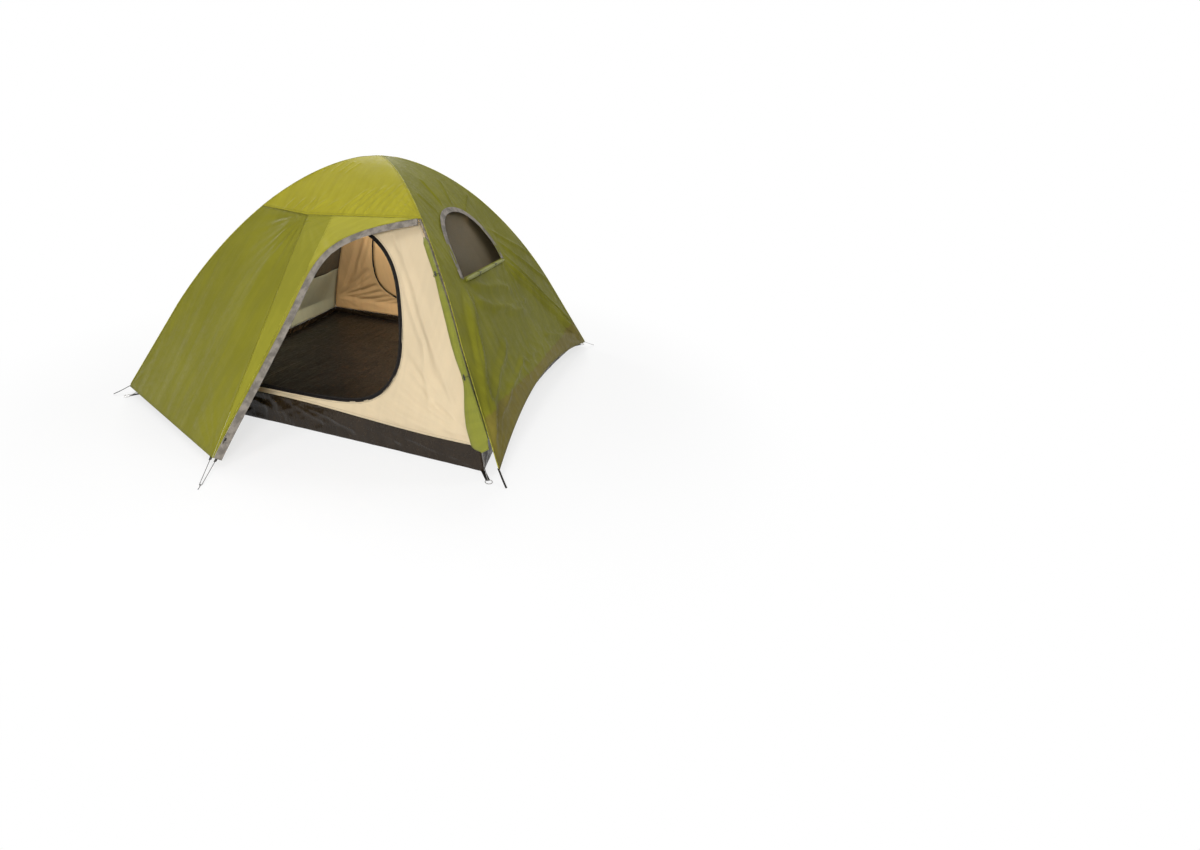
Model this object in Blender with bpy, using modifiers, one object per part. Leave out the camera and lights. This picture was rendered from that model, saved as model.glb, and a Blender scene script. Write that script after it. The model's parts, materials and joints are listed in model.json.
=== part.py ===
"""Two-pole dome tent with a pegged-out flysheet, pitched. Metres, +Z up, the front doorway faces -Y.

The tent is the same turned half a turn about Z, so each rear or left piece is its twin turned round. The front
doorway is open and its doors are tied back; the rear one is closed.
"""

import math

import bmesh
import bpy
from mathutils import Matrix, Vector

# ---- driving sizes
WIDTH, DEPTH = 2.10, 1.90  # between the pole feet
HEIGHT = 1.304  # axis of the upper pole where the poles cross
ARCH_P, ARCH_Q = 1.75, 1.2  # the arch is |s|^P + z^Q = 1
FOOT_Z = 0.030  # lower end of a pole's axis
ROWS = 16  # straight runs from the crossing to a foot

POLE_R = 0.0045
FERRULE_R, FERRULE_LEN = 0.0056, 0.060
SECTIONS = 5
SLEEVE_R, SLEEVE_WALL = 0.0068, 0.0008
SLEEVE_END = 0.90  # how far down the arch the sleeve reaches
CROSS_DROP = 0.018  # the lower pole's axis under the upper one's

CLOTH = 0.0012
GAP = 0.0004  # between pieces that are sewn or seated together
CORNER_STEP = CLOTH + 0.0006  # a cloth that meets another at a steep seam stops this short

TUB_X, TUB_Y = WIDTH - 0.01, DEPTH - 0.01  # groundsheet on the ground
TUB_H, TUB_T = 0.150, 0.0016
INSET = SLEEVE_R + SLEEVE_WALL + GAP  # outer face of the inner tent under the lower pole's axis
FLAT_TOP = 0.767 * HEIGHT  # the middle of each inner wall is flat from the tub to this height
FLAT_PART = 0.62
WALL_COLUMNS = 14
MESH_FROM = 0.42  # side walls are mesh above this

FLY_OFF = 0.018  # outer face of the fly over the upper pole's axis
FLY_SEAT = SLEEVE_R * 0.92 + SLEEVE_WALL + GAP + CLOTH  # at the crossing, where it rests on the sleeve's flat
FLY_RISES = 5  # rows from the one to the other
FLY_LEAVES = 10  # row where the fly leaves the pole for its corner
FLY_CORNER = Vector((WIDTH / 2 + 0.080, DEPTH / 2 + 0.022, 0.040))
SIDE_SAG = 0.012
HEM_RISE = 0.102
SEAM_Z = 0.7975 * HEIGHT  # seam between the front cap and the vestibule
RIDGE_TOP = Vector((-0.081 * WIDTH, -0.2526 * DEPTH, 0.7807 * HEIGHT))
RIDGE_FOOT = Vector((-0.0505 * WIDTH, -0.7332 * DEPTH, 0.040))
ZIP_BAND = 0.040
DOOR_LIFT = 0.0008  # the closed door lies this far outside the zip band

POLY = "POLY"

# ---- scene
for leftover in list(bpy.data.objects):
    bpy.data.objects.remove(leftover, do_unlink=True)


def collection(name):
    made = bpy.data.collections.new(name)
    bpy.context.scene.collection.children.link(made)
    return made


TENT = collection("dome_tent")
CUTTERS = collection("cutters")


def material(name, colour, roughness, metallic=0.0):
    made = bpy.data.materials.new(name)
    made.use_nodes = True
    shader = made.node_tree.nodes["Principled BSDF"]
    shader.inputs["Base Color"].default_value = (*colour, 1.0)
    shader.inputs["Roughness"].default_value = roughness
    shader.inputs["Metallic"].default_value = metallic
    made.diffuse_color = (*colour, 1.0)
    return made


FLY_GREEN = material("fly_green", (0.21, 0.22, 0.045), 0.55)
CAP_GREEN = material("cap_green", (0.34, 0.35, 0.065), 0.5)
ROLL_GREEN = material("roll_green", (0.27, 0.28, 0.05), 0.5)
CREAM = material("cream_cloth", (0.64, 0.50, 0.33), 0.7)
GREY_GREEN = material("grey_green_cloth", (0.22, 0.21, 0.13), 0.7)
NET = material("dark_mesh", (0.03, 0.025, 0.015), 0.8)
TUB = material("black_tub", (0.022, 0.018, 0.014), 0.35)
ZIP_GREY = material("zip_grey", (0.21, 0.18, 0.17), 0.8)
BLACK = material("black_trim", (0.012, 0.011, 0.010), 0.6)
SLEEVE = material("sleeve_grey", (0.18, 0.14, 0.11), 0.7)
POLE = material("pole_grey", (0.20, 0.20, 0.19), 0.35)
STEEL = material("bright_steel", (0.62, 0.60, 0.56), 0.3, 1.0)
CORD = material("cord_grey", (0.45, 0.43, 0.38), 0.7)


def put(name, mesh, colour, into=TENT):
    made = bpy.data.objects.new(name, mesh)
    into.objects.link(made)
    if colour is not None:
        made.data.materials.append(colour)
    return made


def cutter(made):
    for held in list(made.users_collection):
        held.objects.unlink(made)
    CUTTERS.objects.link(made)
    made.hide_render = True
    made.display_type = "WIRE"
    return made


def turned(name, source):
    """The twin of a piece, turned half a turn about Z."""
    made = source.copy()
    made.name = name
    made.matrix_world = Matrix.Rotation(math.pi, 4, "Z") @ source.matrix_world
    TENT.objects.link(made)
    return made


def grid(name, rows, colour, thickness=CLOTH, outward=1):
    """Cloth on rows of points, its thickness on the inner side. A row of one point is a corner."""
    made = bmesh.new()
    lines = [[made.verts.new(p) for p in row] for row in rows]
    for a, b in zip(lines, lines[1:]):
        for i in range(max(len(a), len(b)) - 1):
            corners = [a[min(i, len(a) - 1)], a[min(i + 1, len(a) - 1)]]
            corners += [b[min(i + 1, len(b) - 1)], b[min(i, len(b) - 1)]]
            corners = list(dict.fromkeys(corners))
            made.faces.new(corners if outward > 0 else corners[::-1])
    mesh = bpy.data.meshes.new(name)
    made.to_mesh(mesh)
    made.free()
    cloth = put(name, mesh, colour)
    shell = cloth.modifiers.new("Thickness", "SOLIDIFY")
    shell.thickness = thickness
    shell.offset = -1
    shell.use_even_offset = True
    return cloth


def cut(piece, tool):
    made = piece.modifiers.new("Cut", "BOOLEAN")
    made.operation = "DIFFERENCE"
    made.solver = "EXACT"
    made.object = tool
    return piece


def union(piece, other):
    """Join another closed mesh to a piece."""
    joined = piece.modifiers.new("Joined", "BOOLEAN")
    joined.operation = "UNION"
    joined.solver = "EXACT"
    joined.object = cutter(other)


def as_mesh(curve_object):
    """The evaluated curve as a mesh object with its caps welded, in place of the curve."""
    graph = bpy.context.evaluated_depsgraph_get()
    graph.update()
    mesh = bpy.data.meshes.new_from_object(curve_object.evaluated_get(graph))
    made = bmesh.new()
    made.from_mesh(mesh)
    bmesh.ops.remove_doubles(made, verts=made.verts, dist=1e-6)
    bmesh.ops.recalc_face_normals(made, faces=made.faces)
    made.to_mesh(mesh)
    made.free()
    name, where = curve_object.name, curve_object.matrix_world.copy()
    held = curve_object.users_collection[0]
    bpy.data.objects.remove(curve_object, do_unlink=True)
    piece = bpy.data.objects.new(name, mesh)
    piece.matrix_world = where
    held.objects.link(piece)
    return piece


def wire(name, points, radius, colour, resolution=2, radii=None, cyclic=False):
    curve = bpy.data.curves.new(name, "CURVE")
    curve.dimensions = "3D"
    curve.bevel_depth = radius
    curve.bevel_resolution = resolution
    curve.use_fill_caps = True
    spline = curve.splines.new(POLY)
    spline.points.add(len(points) - 1)
    for i, p in enumerate(points):
        spline.points[i].co = (*p, 1.0)
        spline.points[i].radius = radii[i] if radii else 1.0
    spline.use_cyclic_u = cyclic
    return put(name, curve, colour)


def flat_shape(name, outlines, thickness, colour, where):
    """Flat piece of cloth or tape from outlines in its own XY, placed by the matrix where."""
    curve = bpy.data.curves.new(name, "CURVE")
    curve.dimensions = "2D"
    curve.fill_mode = "BOTH"
    curve.extrude = thickness / 2
    for outline in outlines:
        spline = curve.splines.new(POLY)
        spline.points.add(len(outline) - 1)
        for i, (x, y) in enumerate(outline):
            spline.points[i].co = (x, y, 0.0, 1.0)
        spline.use_cyclic_u = True
    made = put(name, curve, colour)
    made.matrix_world = where
    return made


# ---- the pole arches and what follows them
def arch(row, height, off=0.0):
    """(reach, z) of the arch at a whole row, moved out by off. Reach is 0 at the crossing and 1 at a foot."""
    k = row / ROWS
    half_span = math.hypot(WIDTH, DEPTH) / 2

    def at(k):
        side = 1 if k >= 0 else -1
        turn = math.pi / 2 * min(abs(k), 1.0)
        return Vector(
            (side * math.sin(turn) ** (2 / ARCH_P), FOOT_Z + (height - FOOT_Z) * math.cos(turn) ** (2 / ARCH_Q))
        )

    here, before, after = at(k), at(k - 1e-3), at(min(k + 1e-3, 1.0))
    run = Vector(((after.x - before.x) * half_span, after.y - before.y)).normalized()
    return Vector((here.x - run.y * off / half_span, here.y + run.x * off))


def between(points, at):
    low = min(int(at), len(points) - 2)
    return points[low].lerp(points[low + 1], at - low)


def row_at_height(points, z):
    """Where a falling line of points (…, z) passes a height, in rows."""
    for i in range(len(points) - 1):
        upper, lower = points[i][-1], points[i + 1][-1]
        if upper >= z >= lower:
            return i + (upper - z) / (upper - lower)
    raise ValueError(z)


LOW_POLE = HEIGHT - CROSS_DROP
INNER_ARCH = [arch(i, LOW_POLE, -INSET) for i in range(ROWS + 1)]


def fly_line():
    """The fly's seam over a pole, as (x, y, z) in the quarter where x and y are positive."""
    line = []
    for i in range(FLY_LEAVES + 1):
        off = FLY_SEAT + (FLY_OFF - FLY_SEAT) * min(i / FLY_RISES, 1.0)
        reach, z = arch(i, HEIGHT, off)
        line.append(Vector((reach * WIDTH / 2, reach * DEPTH / 2, z)))
    for i in range(FLY_LEAVES + 1, ROWS + 1):
        line.append(line[FLY_LEAVES].lerp(FLY_CORNER, (i - FLY_LEAVES) / (ROWS - FLY_LEAVES)))
    return line


FLY = fly_line()
SEAM_ROW = row_at_height(FLY, SEAM_Z)


def corner_point(reach, z, sx, sy):
    return Vector((sx * reach * WIDTH / 2, sy * reach * DEPTH / 2, z))


def pole(letter, height, sx, sy, colour):
    """Five sections with their ferrules. Runs from the (sx, sy) foot over the crossing to the other foot."""
    axis = [arch(i, height) for i in range(ROWS + 1)]
    run = [corner_point(*axis[i], sx, sy) for i in range(ROWS, -1, -1)]
    run += [corner_point(*axis[i], -sx, -sy) for i in range(1, ROWS + 1)]
    lengths = [0.0]
    for a, b in zip(run, run[1:]):
        lengths.append(lengths[-1] + (b - a).length)

    def at(length):
        for i in range(len(run) - 1):
            if length <= lengths[i + 1] + 1e-9:
                return run[i].lerp(run[i + 1], (length - lengths[i]) / (lengths[i + 1] - lengths[i]))
        return run[-1]

    each = lengths[-1] / SECTIONS
    for n in range(SECTIONS):
        start, end = n * each, (n + 1) * each - (GAP if n < SECTIONS - 1 else 0.0)
        marks = [(start, 1.0)]
        marks += [(v, 1.0) for v in lengths if start + 0.001 < v < end - FERRULE_LEN - 0.002]
        if n < SECTIONS - 1:
            neck = end - FERRULE_LEN
            marks += [(neck - 0.0005, 1.0), (neck, FERRULE_R / POLE_R)]
            marks += [(v, FERRULE_R / POLE_R) for v in lengths if neck + 0.001 < v < end - 0.001]
            marks += [(end, FERRULE_R / POLE_R)]
        else:
            marks += [(v, 1.0) for v in lengths if end - FERRULE_LEN - 0.002 <= v < end - 0.001] + [(end, 1.0)]
        wire(
            f"pole_{letter}_section_{n + 1}",
            [at(m) for m, _ in marks],
            POLE_R,
            colour,
            radii=[r for _, r in marks],
        )


pole("front_right", HEIGHT, 1, -1, POLE)
pole("front_left", LOW_POLE, -1, -1, POLE)


def sleeve(name, height, sx, sy):
    """A cloth tube round the pole, open at both ends."""
    last = int(SLEEVE_END * ROWS)
    axis = [arch(i, height) for i in range(last + 1)]
    run = [corner_point(*axis[i], sx, sy) for i in range(last, -1, -1)]
    run += [corner_point(*axis[i], -sx, -sy) for i in range(1, last + 1)]
    tube = wire(name, run, SLEEVE_R, SLEEVE, resolution=1)
    tube.data.use_fill_caps = False
    tube = as_mesh(tube)
    shell = tube.modifiers.new("Wall", "SOLIDIFY")
    shell.thickness = SLEEVE_WALL
    shell.offset = 1
    return tube


sleeve("pole_sleeve_front_right", HEIGHT, 1, -1)
sleeve("pole_sleeve_front_left", LOW_POLE, -1, -1)

# ---- inner tent
TUB_ROW = row_at_height(INNER_ARCH, TUB_H + GAP)
FLAT_ROW = row_at_height(INNER_ARCH, FLAT_TOP)


def inner_rows(first, last, half, across_half, pull):
    """Rows of (across, out, z): out is the way the wall faces. Flat in the middle, on the arch at the poles."""
    foot, top = between(INNER_ARCH, TUB_ROW), between(INNER_ARCH, FLAT_ROW)
    marks = [first] + [i for i in range(ROWS + 1) if first + 0.05 < i < last - 0.05] + [last]
    for at in marks:
        reach, z = between(INNER_ARCH, at)
        flat = reach
        if z < FLAT_TOP:
            flat = foot.x + (top.x - foot.x) * (z - foot.y) / (top.y - foot.y)
        wide = reach * across_half - pull
        if wide < 0.002:
            yield [(0.0, reach * half + 0.0005, z)]
            continue
        row = []
        for j in range(WALL_COLUMNS + 1):
            v = 2 * j / WALL_COLUMNS - 1
            lean = min(max((abs(v) - FLAT_PART) / (1 - FLAT_PART), 0.0), 1.0)
            lean = lean * lean * (3 - 2 * lean)
            row.append((v * wide, (flat + (reach - flat) * lean) * half + 0.0005, z))
        yield row


def inner_wall(name, faces_y, first, last, colour, pull):
    """A wall that faces -Y, or +X."""
    if faces_y:
        rows = inner_rows(first, last, DEPTH / 2, WIDTH / 2, pull)
        rows = [[(a, -out, z) for a, out, z in row] for row in rows]
    else:
        rows = inner_rows(first, last, WIDTH / 2, DEPTH / 2, pull)
        rows = [[(out, a, z) for a, out, z in row] for row in rows]
    return grid(name, rows, colour, outward=-1)


MESH_ROW = row_at_height(INNER_ARCH, MESH_FROM)
front_wall = inner_wall("inner_front_wall", True, 0, TUB_ROW, CREAM, 0.0)
right_lower = inner_wall("inner_right_lower_wall", False, MESH_ROW + 0.004, TUB_ROW, GREY_GREEN, CORNER_STEP)
right_mesh = inner_wall("inner_right_mesh_wall", False, 0.25, MESH_ROW, NET, CORNER_STEP)

# The flat middle of the front wall, as a frame: local X along the wall, local Y up it, local Z out of it.
FLAT_FOOT, FLAT_HEAD = between(INNER_ARCH, TUB_ROW), between(INNER_ARCH, FLAT_ROW)
WALL_UP = Vector((0.0, (FLAT_FOOT.x - FLAT_HEAD.x) * DEPTH / 2, FLAT_HEAD.y - FLAT_FOOT.y)).normalized()
WALL_OUT = Vector((1.0, 0.0, 0.0)).cross(WALL_UP)
WALL_AT = Vector((0.0, -FLAT_FOOT.x * DEPTH / 2 - 0.0005, FLAT_FOOT.y)) - WALL_OUT * CLOTH / 2
WALL_FRAME = Matrix.Translation(WALL_AT) @ Matrix(((1, 0, 0), WALL_UP, WALL_OUT)).transposed().to_4x4()

# Inner door: a D with its straight side at the hinge. Points in (across, height above the ground).
DOOR_HINGE_X = -0.1429 * WIDTH
DOOR_EDGE = [
    (DOOR_HINGE_X, 0.7247 * HEIGHT),
    (-0.0238 * WIDTH, 0.7477 * HEIGHT),
    (0.0571 * WIDTH, 0.7400 * HEIGHT),
    (0.1119 * WIDTH, 0.7094 * HEIGHT),
    (0.1595 * WIDTH, 0.6518 * HEIGHT),
    (0.1952 * WIDTH, 0.5752 * HEIGHT),
    (0.2238 * WIDTH, 0.4678 * HEIGHT),
    (0.2438 * WIDTH, 0.3604 * HEIGHT),
    (0.2476 * WIDTH, 0.2837 * HEIGHT),
    (0.2333 * WIDTH, 0.2186 * HEIGHT),
    (0.2000 * WIDTH, 0.1725 * HEIGHT),
    (0.1476 * WIDTH, 0.1495 * HEIGHT),
    (0.0476 * WIDTH, 0.1396 * HEIGHT),
    (DOOR_HINGE_X, 0.1380 * HEIGHT),
]
BINDING = 0.020


def smooth(points, each=3):
    """A smooth line through the points."""
    line = []
    ends = [points[0]] + points + [points[-1]]
    for p0, p1, p2, p3 in zip(ends, ends[1:], ends[2:], ends[3:]):
        for n in range(each):
            t = n / each
            line.append(
                tuple(
                    0.5 * (2 * b + (c - a) * t + (2 * a - 5 * b + 4 * c - d) * t**2 + (3 * b - 3 * c + d - a) * t**3)
                    for a, b, c, d in zip(p0, p1, p2, p3)
                )
            )
    return line + [tuple(points[-1])]


def moved_out(line, by):
    """An open line moved sideways, to its left as it runs."""
    made = []
    for i, p in enumerate(line):
        a, b = line[max(i - 1, 0)], line[min(i + 1, len(line) - 1)]
        run = Vector((b[0] - a[0], b[1] - a[1])).normalized()
        made.append((p[0] - run.y * by, p[1] + run.x * by))
    return made


UP_SCALE = 1 / WALL_UP.z
door_line = [(x, (z - WALL_AT.z) * UP_SCALE) for x, z in smooth(DOOR_EDGE)]
wall_hole = moved_out(door_line, BINDING / 2 + GAP)
tape_outer = moved_out(door_line, BINDING / 2)
tape_inner = moved_out(door_line, -BINDING / 2)
door_panel = moved_out(door_line, -BINDING / 2 - GAP)
for shape, x in ((wall_hole, DOOR_HINGE_X - 0.0016), (door_panel, DOOR_HINGE_X)):
    shape[0], shape[-1] = (x, shape[0][1]), (x, shape[-1][1])
for shape in (tape_outer, tape_inner):
    shape[0], shape[-1] = (DOOR_HINGE_X, shape[0][1]), (DOOR_HINGE_X, shape[-1][1])

door_tool = as_mesh(flat_shape("door_cutter", [wall_hole], 0.08, None, WALL_FRAME))
cutter(door_tool)
cut(front_wall, door_tool)
front_tape = flat_shape("inner_front_door_zip", [tape_outer + tape_inner[::-1]], CLOTH, BLACK, WALL_FRAME)
turned("inner_rear_door_zip", front_tape)
turned("inner_rear_wall", front_wall).modifiers["Cut"].object = cutter(turned("rear_door_cutter", door_tool))
turned("inner_left_lower_wall", right_lower)
turned("inner_left_mesh_wall", right_mesh)

# The rear door is closed. Its origin is on the hinge line, which is its straight side.
hinge_foot = WALL_FRAME @ Vector((DOOR_HINGE_X, door_panel[-1][1], 0.0))
about_hinge = [(x - DOOR_HINGE_X, y - door_panel[-1][1]) for x, y in door_panel]
door_frame = Matrix.Translation(hinge_foot) @ WALL_FRAME.to_3x3().to_4x4()
rear_door = flat_shape(
    "inner_rear_door", [about_hinge], CLOTH, CREAM, Matrix.Rotation(math.pi, 4, "Z") @ door_frame
)

# The front one is rolled up beside its hinge line, outside the wall.
ROLLED_R = 0.024
rolled_at = WALL_FRAME @ Matrix.Translation((DOOR_HINGE_X - ROLLED_R - 0.004, 0.0, ROLLED_R + CLOTH / 2 + GAP))
wire(
    "inner_front_door_rolled",
    [rolled_at @ Vector((0.0, share * HEIGHT, 0.0)) for share in (0.0345, 0.0537, 0.2301, 0.4218, 0.6135, 0.6365)],
    ROLLED_R,
    CREAM,
    resolution=4,
    radii=[0.7, 0.95, 1.0, 1.0, 0.95, 0.7],
)


# ---- groundsheet tub
def tub():
    top = between(INNER_ARCH, TUB_ROW)
    low = [Vector((sx * TUB_X / 2, sy * TUB_Y / 2, 0.0)) for sx, sy in ((-1, -1), (1, -1), (1, 1), (-1, 1))]
    high = [
        Vector((math.copysign(top.x * WIDTH / 2, p.x), math.copysign(top.x * DEPTH / 2, p.y), TUB_H)) for p in low
    ]
    made = bmesh.new()
    lows, highs = [made.verts.new(p) for p in low], [made.verts.new(p) for p in high]
    made.faces.new(lows[::-1])
    for i in range(4):
        j = (i + 1) % 4
        made.faces.new((lows[i], lows[j], highs[j], highs[i]))
    mesh = bpy.data.meshes.new("groundsheet_tub")
    made.to_mesh(mesh)
    made.free()
    sheet = put("groundsheet_tub", mesh, TUB)
    shell = sheet.modifiers.new("Thickness", "SOLIDIFY")
    shell.thickness = TUB_T
    shell.offset = -1
    shell.use_even_offset = True
    return sheet


tub()

# ---- flysheet
def fly_at(at, sx, sy):
    p = between(FLY, at)
    return Vector((sx * p.x, sy * p.y, p.z))


def dip(x, line_x):
    """How far the seam at this x is drawn to the top of the vestibule's ridge, 0 to 1."""
    edge = line_x if x > RIDGE_TOP.x else -line_x
    return max(0.0, 1 - (x - RIDGE_TOP.x) / (edge - RIDGE_TOP.x))


def fly_cap():
    rows = [[(0.0, -0.0006, FLY[0].z)]]
    marks = [i for i in range(1, int(SEAM_ROW) + 1)] + [SEAM_ROW]
    seam = between(FLY, SEAM_ROW)
    columns = [-1, -0.85, -0.7, -0.53, RIDGE_TOP.x / seam.x, -0.2, 0.0, 0.2, 0.4, 0.6, 0.8, 1]
    for at in marks:
        p = between(FLY, at)
        near = (at / SEAM_ROW) ** 3
        row = []
        for v in columns:
            pull = dip(v * seam.x, seam.x) * near
            row.append((v * p.x, -p.y - 0.0006 + pull * (RIDGE_TOP.y + seam.y), p.z + pull * (RIDGE_TOP.z - SEAM_Z)))
        rows.append(row)
    return grid("fly_front_cap", rows, CAP_GREEN, outward=-1)


front_cap = fly_cap()
turned("fly_rear_cap", front_cap)

# Side window: an arch over a straight sill. Points in (along the side, height above the ground).
SILL_Z, WINDOW_TOP_Z = 0.5805 * HEIGHT, 0.7945 * HEIGHT
WINDOW_EDGE = [
    (-0.2184 * DEPTH, 0.5805 * HEIGHT),
    (-0.1974 * DEPTH, 0.6480 * HEIGHT),
    (-0.1711 * DEPTH, 0.7094 * HEIGHT),
    (-0.1342 * DEPTH, 0.7554 * HEIGHT),
    (-0.0895 * DEPTH, 0.7837 * HEIGHT),
    (-0.0421 * DEPTH, 0.7945 * HEIGHT),
    (0.0053 * DEPTH, 0.7922 * HEIGHT),
    (0.0447 * DEPTH, 0.7761 * HEIGHT),
    (0.0763 * DEPTH, 0.7400 * HEIGHT),
    (0.0958 * DEPTH, 0.6902 * HEIGHT),
    (0.1042 * DEPTH, 0.6365 * HEIGHT),
    (0.1000 * DEPTH, 0.5805 * HEIGHT),
]
FLAP_GAP, SILL_GAP, FLAP_SHORT = 0.0008, 0.0016, 0.0012  # round the flap, under it, and more at its lower ends
FLAP_HINGE_OUT = 0.0075  # the flap turns about a line just outside the bow of its lower edge


def side_panel():
    columns = 10
    marks = list(range(1, 14))
    rows = []
    for at in [0.35] + marks + ["hem", "edge"]:
        row = []
        for j in range(columns + 1):
            v = 2 * j / columns - 1
            hem = row_at_height(FLY, FLY_CORNER.z + 0.0001 + HEM_RISE * (1 - v * v))
            here = at
            if at == "edge":
                here = hem
            elif at == "hem":
                here = 13 + (hem - 13) * 0.5
            p = between(FLY, here)
            sag = SIDE_SAG * (1 - v * v) * min(here / 5, 1.0)
            row.append((p.x - sag, v * (p.y - CORNER_STEP), p.z - sag * 0.5))
        rows.append(row)
    return grid("fly_right_side", rows, FLY_GREEN, outward=-1)


right_side = side_panel()
sill, top = between(FLY, row_at_height(FLY, SILL_Z)), between(FLY, row_at_height(FLY, WINDOW_TOP_Z))
PANE_UP = Vector((top.x - sill.x, 0.0, top.z - sill.z)).normalized()
PANE_OUT = Vector((0.0, 1.0, 0.0)).cross(PANE_UP)
PANE_TURN = Matrix(((0, 1, 0), PANE_UP, PANE_OUT)).transposed().to_4x4()
PANE_FRAME = Matrix.Translation((sill.x - SIDE_SAG, 0.0, sill.z)) @ PANE_TURN
pane_line = [(y, (z - SILL_Z) / PANE_UP.z) for y, z in smooth(WINDOW_EDGE, 2)]
window_tool = cutter(as_mesh(flat_shape("window_cutter", [pane_line], 0.24, None, PANE_FRAME)))
pane_smaller = moved_out(pane_line, -FLAP_GAP)
pane_smaller[0] = (pane_smaller[0][0] + FLAP_SHORT, SILL_GAP)
pane_smaller[-1] = (pane_smaller[-1][0] - FLAP_SHORT, SILL_GAP)
flap_tool = cutter(as_mesh(flat_shape("flap_cutter", [pane_smaller], 0.24, None, PANE_FRAME)))



def turned_for_good(piece, origin):
    """Turn a piece half round and put its origin on the joint, keeping its shape in place."""
    place = Matrix.Rotation(math.pi, 4, "Z")
    at = place @ origin
    piece.data.transform(Matrix.Translation(-at) @ place)
    piece.matrix_world = Matrix.Translation(at)
    return piece


# The left flap is closed: it is the same cloth as the panel, where the window's shape meets it.
left_flap = right_side.copy()
left_flap.data = right_side.data.copy()
left_flap.name = "window_flap_left"
TENT.objects.link(left_flap)
flap_hinge = PANE_FRAME @ Vector((0.0, SILL_GAP / 2, FLAP_HINGE_OUT))
turned_for_good(left_flap, flap_hinge)
cut(left_flap, cutter(turned("left_flap_cutter", flap_tool))).modifiers["Cut"].operation = "INTERSECT"
bpy.data.objects.remove(flap_tool, do_unlink=True)

cut(right_side, window_tool)
turned("fly_left_side", right_side).modifiers["Cut"].object = cutter(turned("left_window_cutter", window_tool))


def pane_point(y, up, out):
    """A point out from the side panel's outer face, near the window."""
    here = PANE_FRAME @ Vector((y, up, 0.0))
    at = row_at_height(FLY, here.z)
    v = y / between(FLY, at).y
    sag = SIDE_SAG * (1 - v * v) * min(at / 5, 1.0)
    face = between(FLY, at)
    return Vector((face.x - sag, y, face.z - sag * 0.5)) + PANE_OUT * out


# The right flap is down: rolled up along the sill, outside.
FLAP_ROLL_R = 0.010
flap_ys = [share * DEPTH for share in (-0.2158, -0.2053, -0.1316, -0.0526, 0.0263, 0.0895, 0.1)]
wire(
    "window_flap_right_rolled",
    [pane_point(y, -FLAP_ROLL_R - 0.004, FLAP_ROLL_R + 2 * GAP) for y in flap_ys],
    FLAP_ROLL_R,
    FLY_GREEN,
    radii=[0.6, 1.0, 1.0, 0.95, 1.0, 1.0, 0.6],
)


# Vestibule. tau runs down from the cap seam to the hem, u from the ridge to a pole seam.
def vestibule(tau, u, side):
    """side is -1 for the face left of the ridge and 1 for the doorway's."""
    ridge = RIDGE_TOP.lerp(RIDGE_FOOT, tau)
    pole_seam = fly_at(SEAM_ROW + (ROWS - SEAM_ROW) * tau, side, -1)
    return ridge.lerp(pole_seam, u)


def face_normal(tau, u, side):
    along = vestibule(min(tau + 0.01, 1), u, side) - vestibule(max(tau - 0.01, 0), u, side)
    across = (vestibule(tau, 1.0, side) - vestibule(tau, 0.0, side)) * side
    return across.cross(along).normalized() * -1


TAUS = [0.0008] + [
    (i - SEAM_ROW) / (ROWS - SEAM_ROW) for i in range(int(SEAM_ROW) + 1, ROWS)
] + [1.0]

left_face = grid(
    "vestibule_front_side_panel",
    [[vestibule(t, 0.9995 - 0.9990 * j / 6, -1) for j in range(7)] for t in TAUS],
    FLY_GREEN,
    outward=-1,
)
turned("vestibule_rear_side_panel", left_face)


def zip_u(tau):
    """Where the zip lies between the ridge and the right pole seam."""
    up = 1 - tau
    return 0.006 + 0.194 * up**1.2 + 0.775 * up**14


# Rows are closer where the zip curves to the right.
ZIP_TAUS = [0.0007, 0.012, 0.028, 0.05, 0.08, 0.12, 0.17, 0.24, 0.33, 0.44, 0.56, 0.70, 0.85, 1.0]
RIDGE_STEP = 0.0016


def ridge_panel():
    rows = []
    for t in ZIP_TAUS:
        wide = (vestibule(t, 1, 1) - vestibule(t, 0, 1)).length
        first, last = RIDGE_STEP / wide, zip_u(t) - GAP / wide
        rows.append([vestibule(t, first + (last - first) * j / 5, 1) for j in range(6)])
    return grid("vestibule_front_ridge_panel", rows, CAP_GREEN, outward=-1)


turned("vestibule_rear_ridge_panel", ridge_panel())


def zip_edge(tau, out):
    """A point beside the zip, out metres from it on the doorway's side, measured on the cloth."""
    here = vestibule(tau, zip_u(tau), 1)
    run = vestibule(min(tau + 0.01, 1), zip_u(min(tau + 0.01, 1)), 1) - vestibule(
        max(tau - 0.01, 0), zip_u(max(tau - 0.01, 0)), 1
    )
    normal = face_normal(tau, zip_u(tau), 1)
    return here + run.cross(normal).normalized() * -out


def band():
    rows = []
    for t in ZIP_TAUS:
        rows.append([zip_edge(t, GAP), zip_edge(t, ZIP_BAND)])
    return grid("fly_front_zip_band", rows, ZIP_GREY, outward=-1)


front_band = band()
turned("fly_rear_zip_band", front_band)


def on_face(point, start):
    """(tau, u) of the point of the doorway's face nearest a point, from a first guess."""
    tau, u = start
    for _ in range(12):
        here = vestibule(tau, u, 1)
        step = 1e-4 if tau < 0.999 else -1e-4
        d_tau = (vestibule(tau + step, u, 1) - here) / step
        d_u = (vestibule(tau, u + 1e-4, 1) - here) / 1e-4
        miss = point - here
        a, b, c = d_tau.dot(d_tau), d_tau.dot(d_u), d_u.dot(d_u)
        e, f = miss.dot(d_tau), miss.dot(d_u)
        tau += (c * e - b * f) / (a * c - b * b)
        u += (a * f - b * e) / (a * c - b * b)
        tau = min(max(tau, 0.0), 1.0)
    return tau, u


# The rear door, closed, hinged at its pole seam. It is made in the front doorway's place and then turned.
DOOR_TOP_TAU, SEAM_U = 0.075, 0.9990
HINGE_TOP, HINGE_FOOT = fly_at(FLY_LEAVES, 1, -1), fly_at(ROWS, 1, -1)


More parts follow.
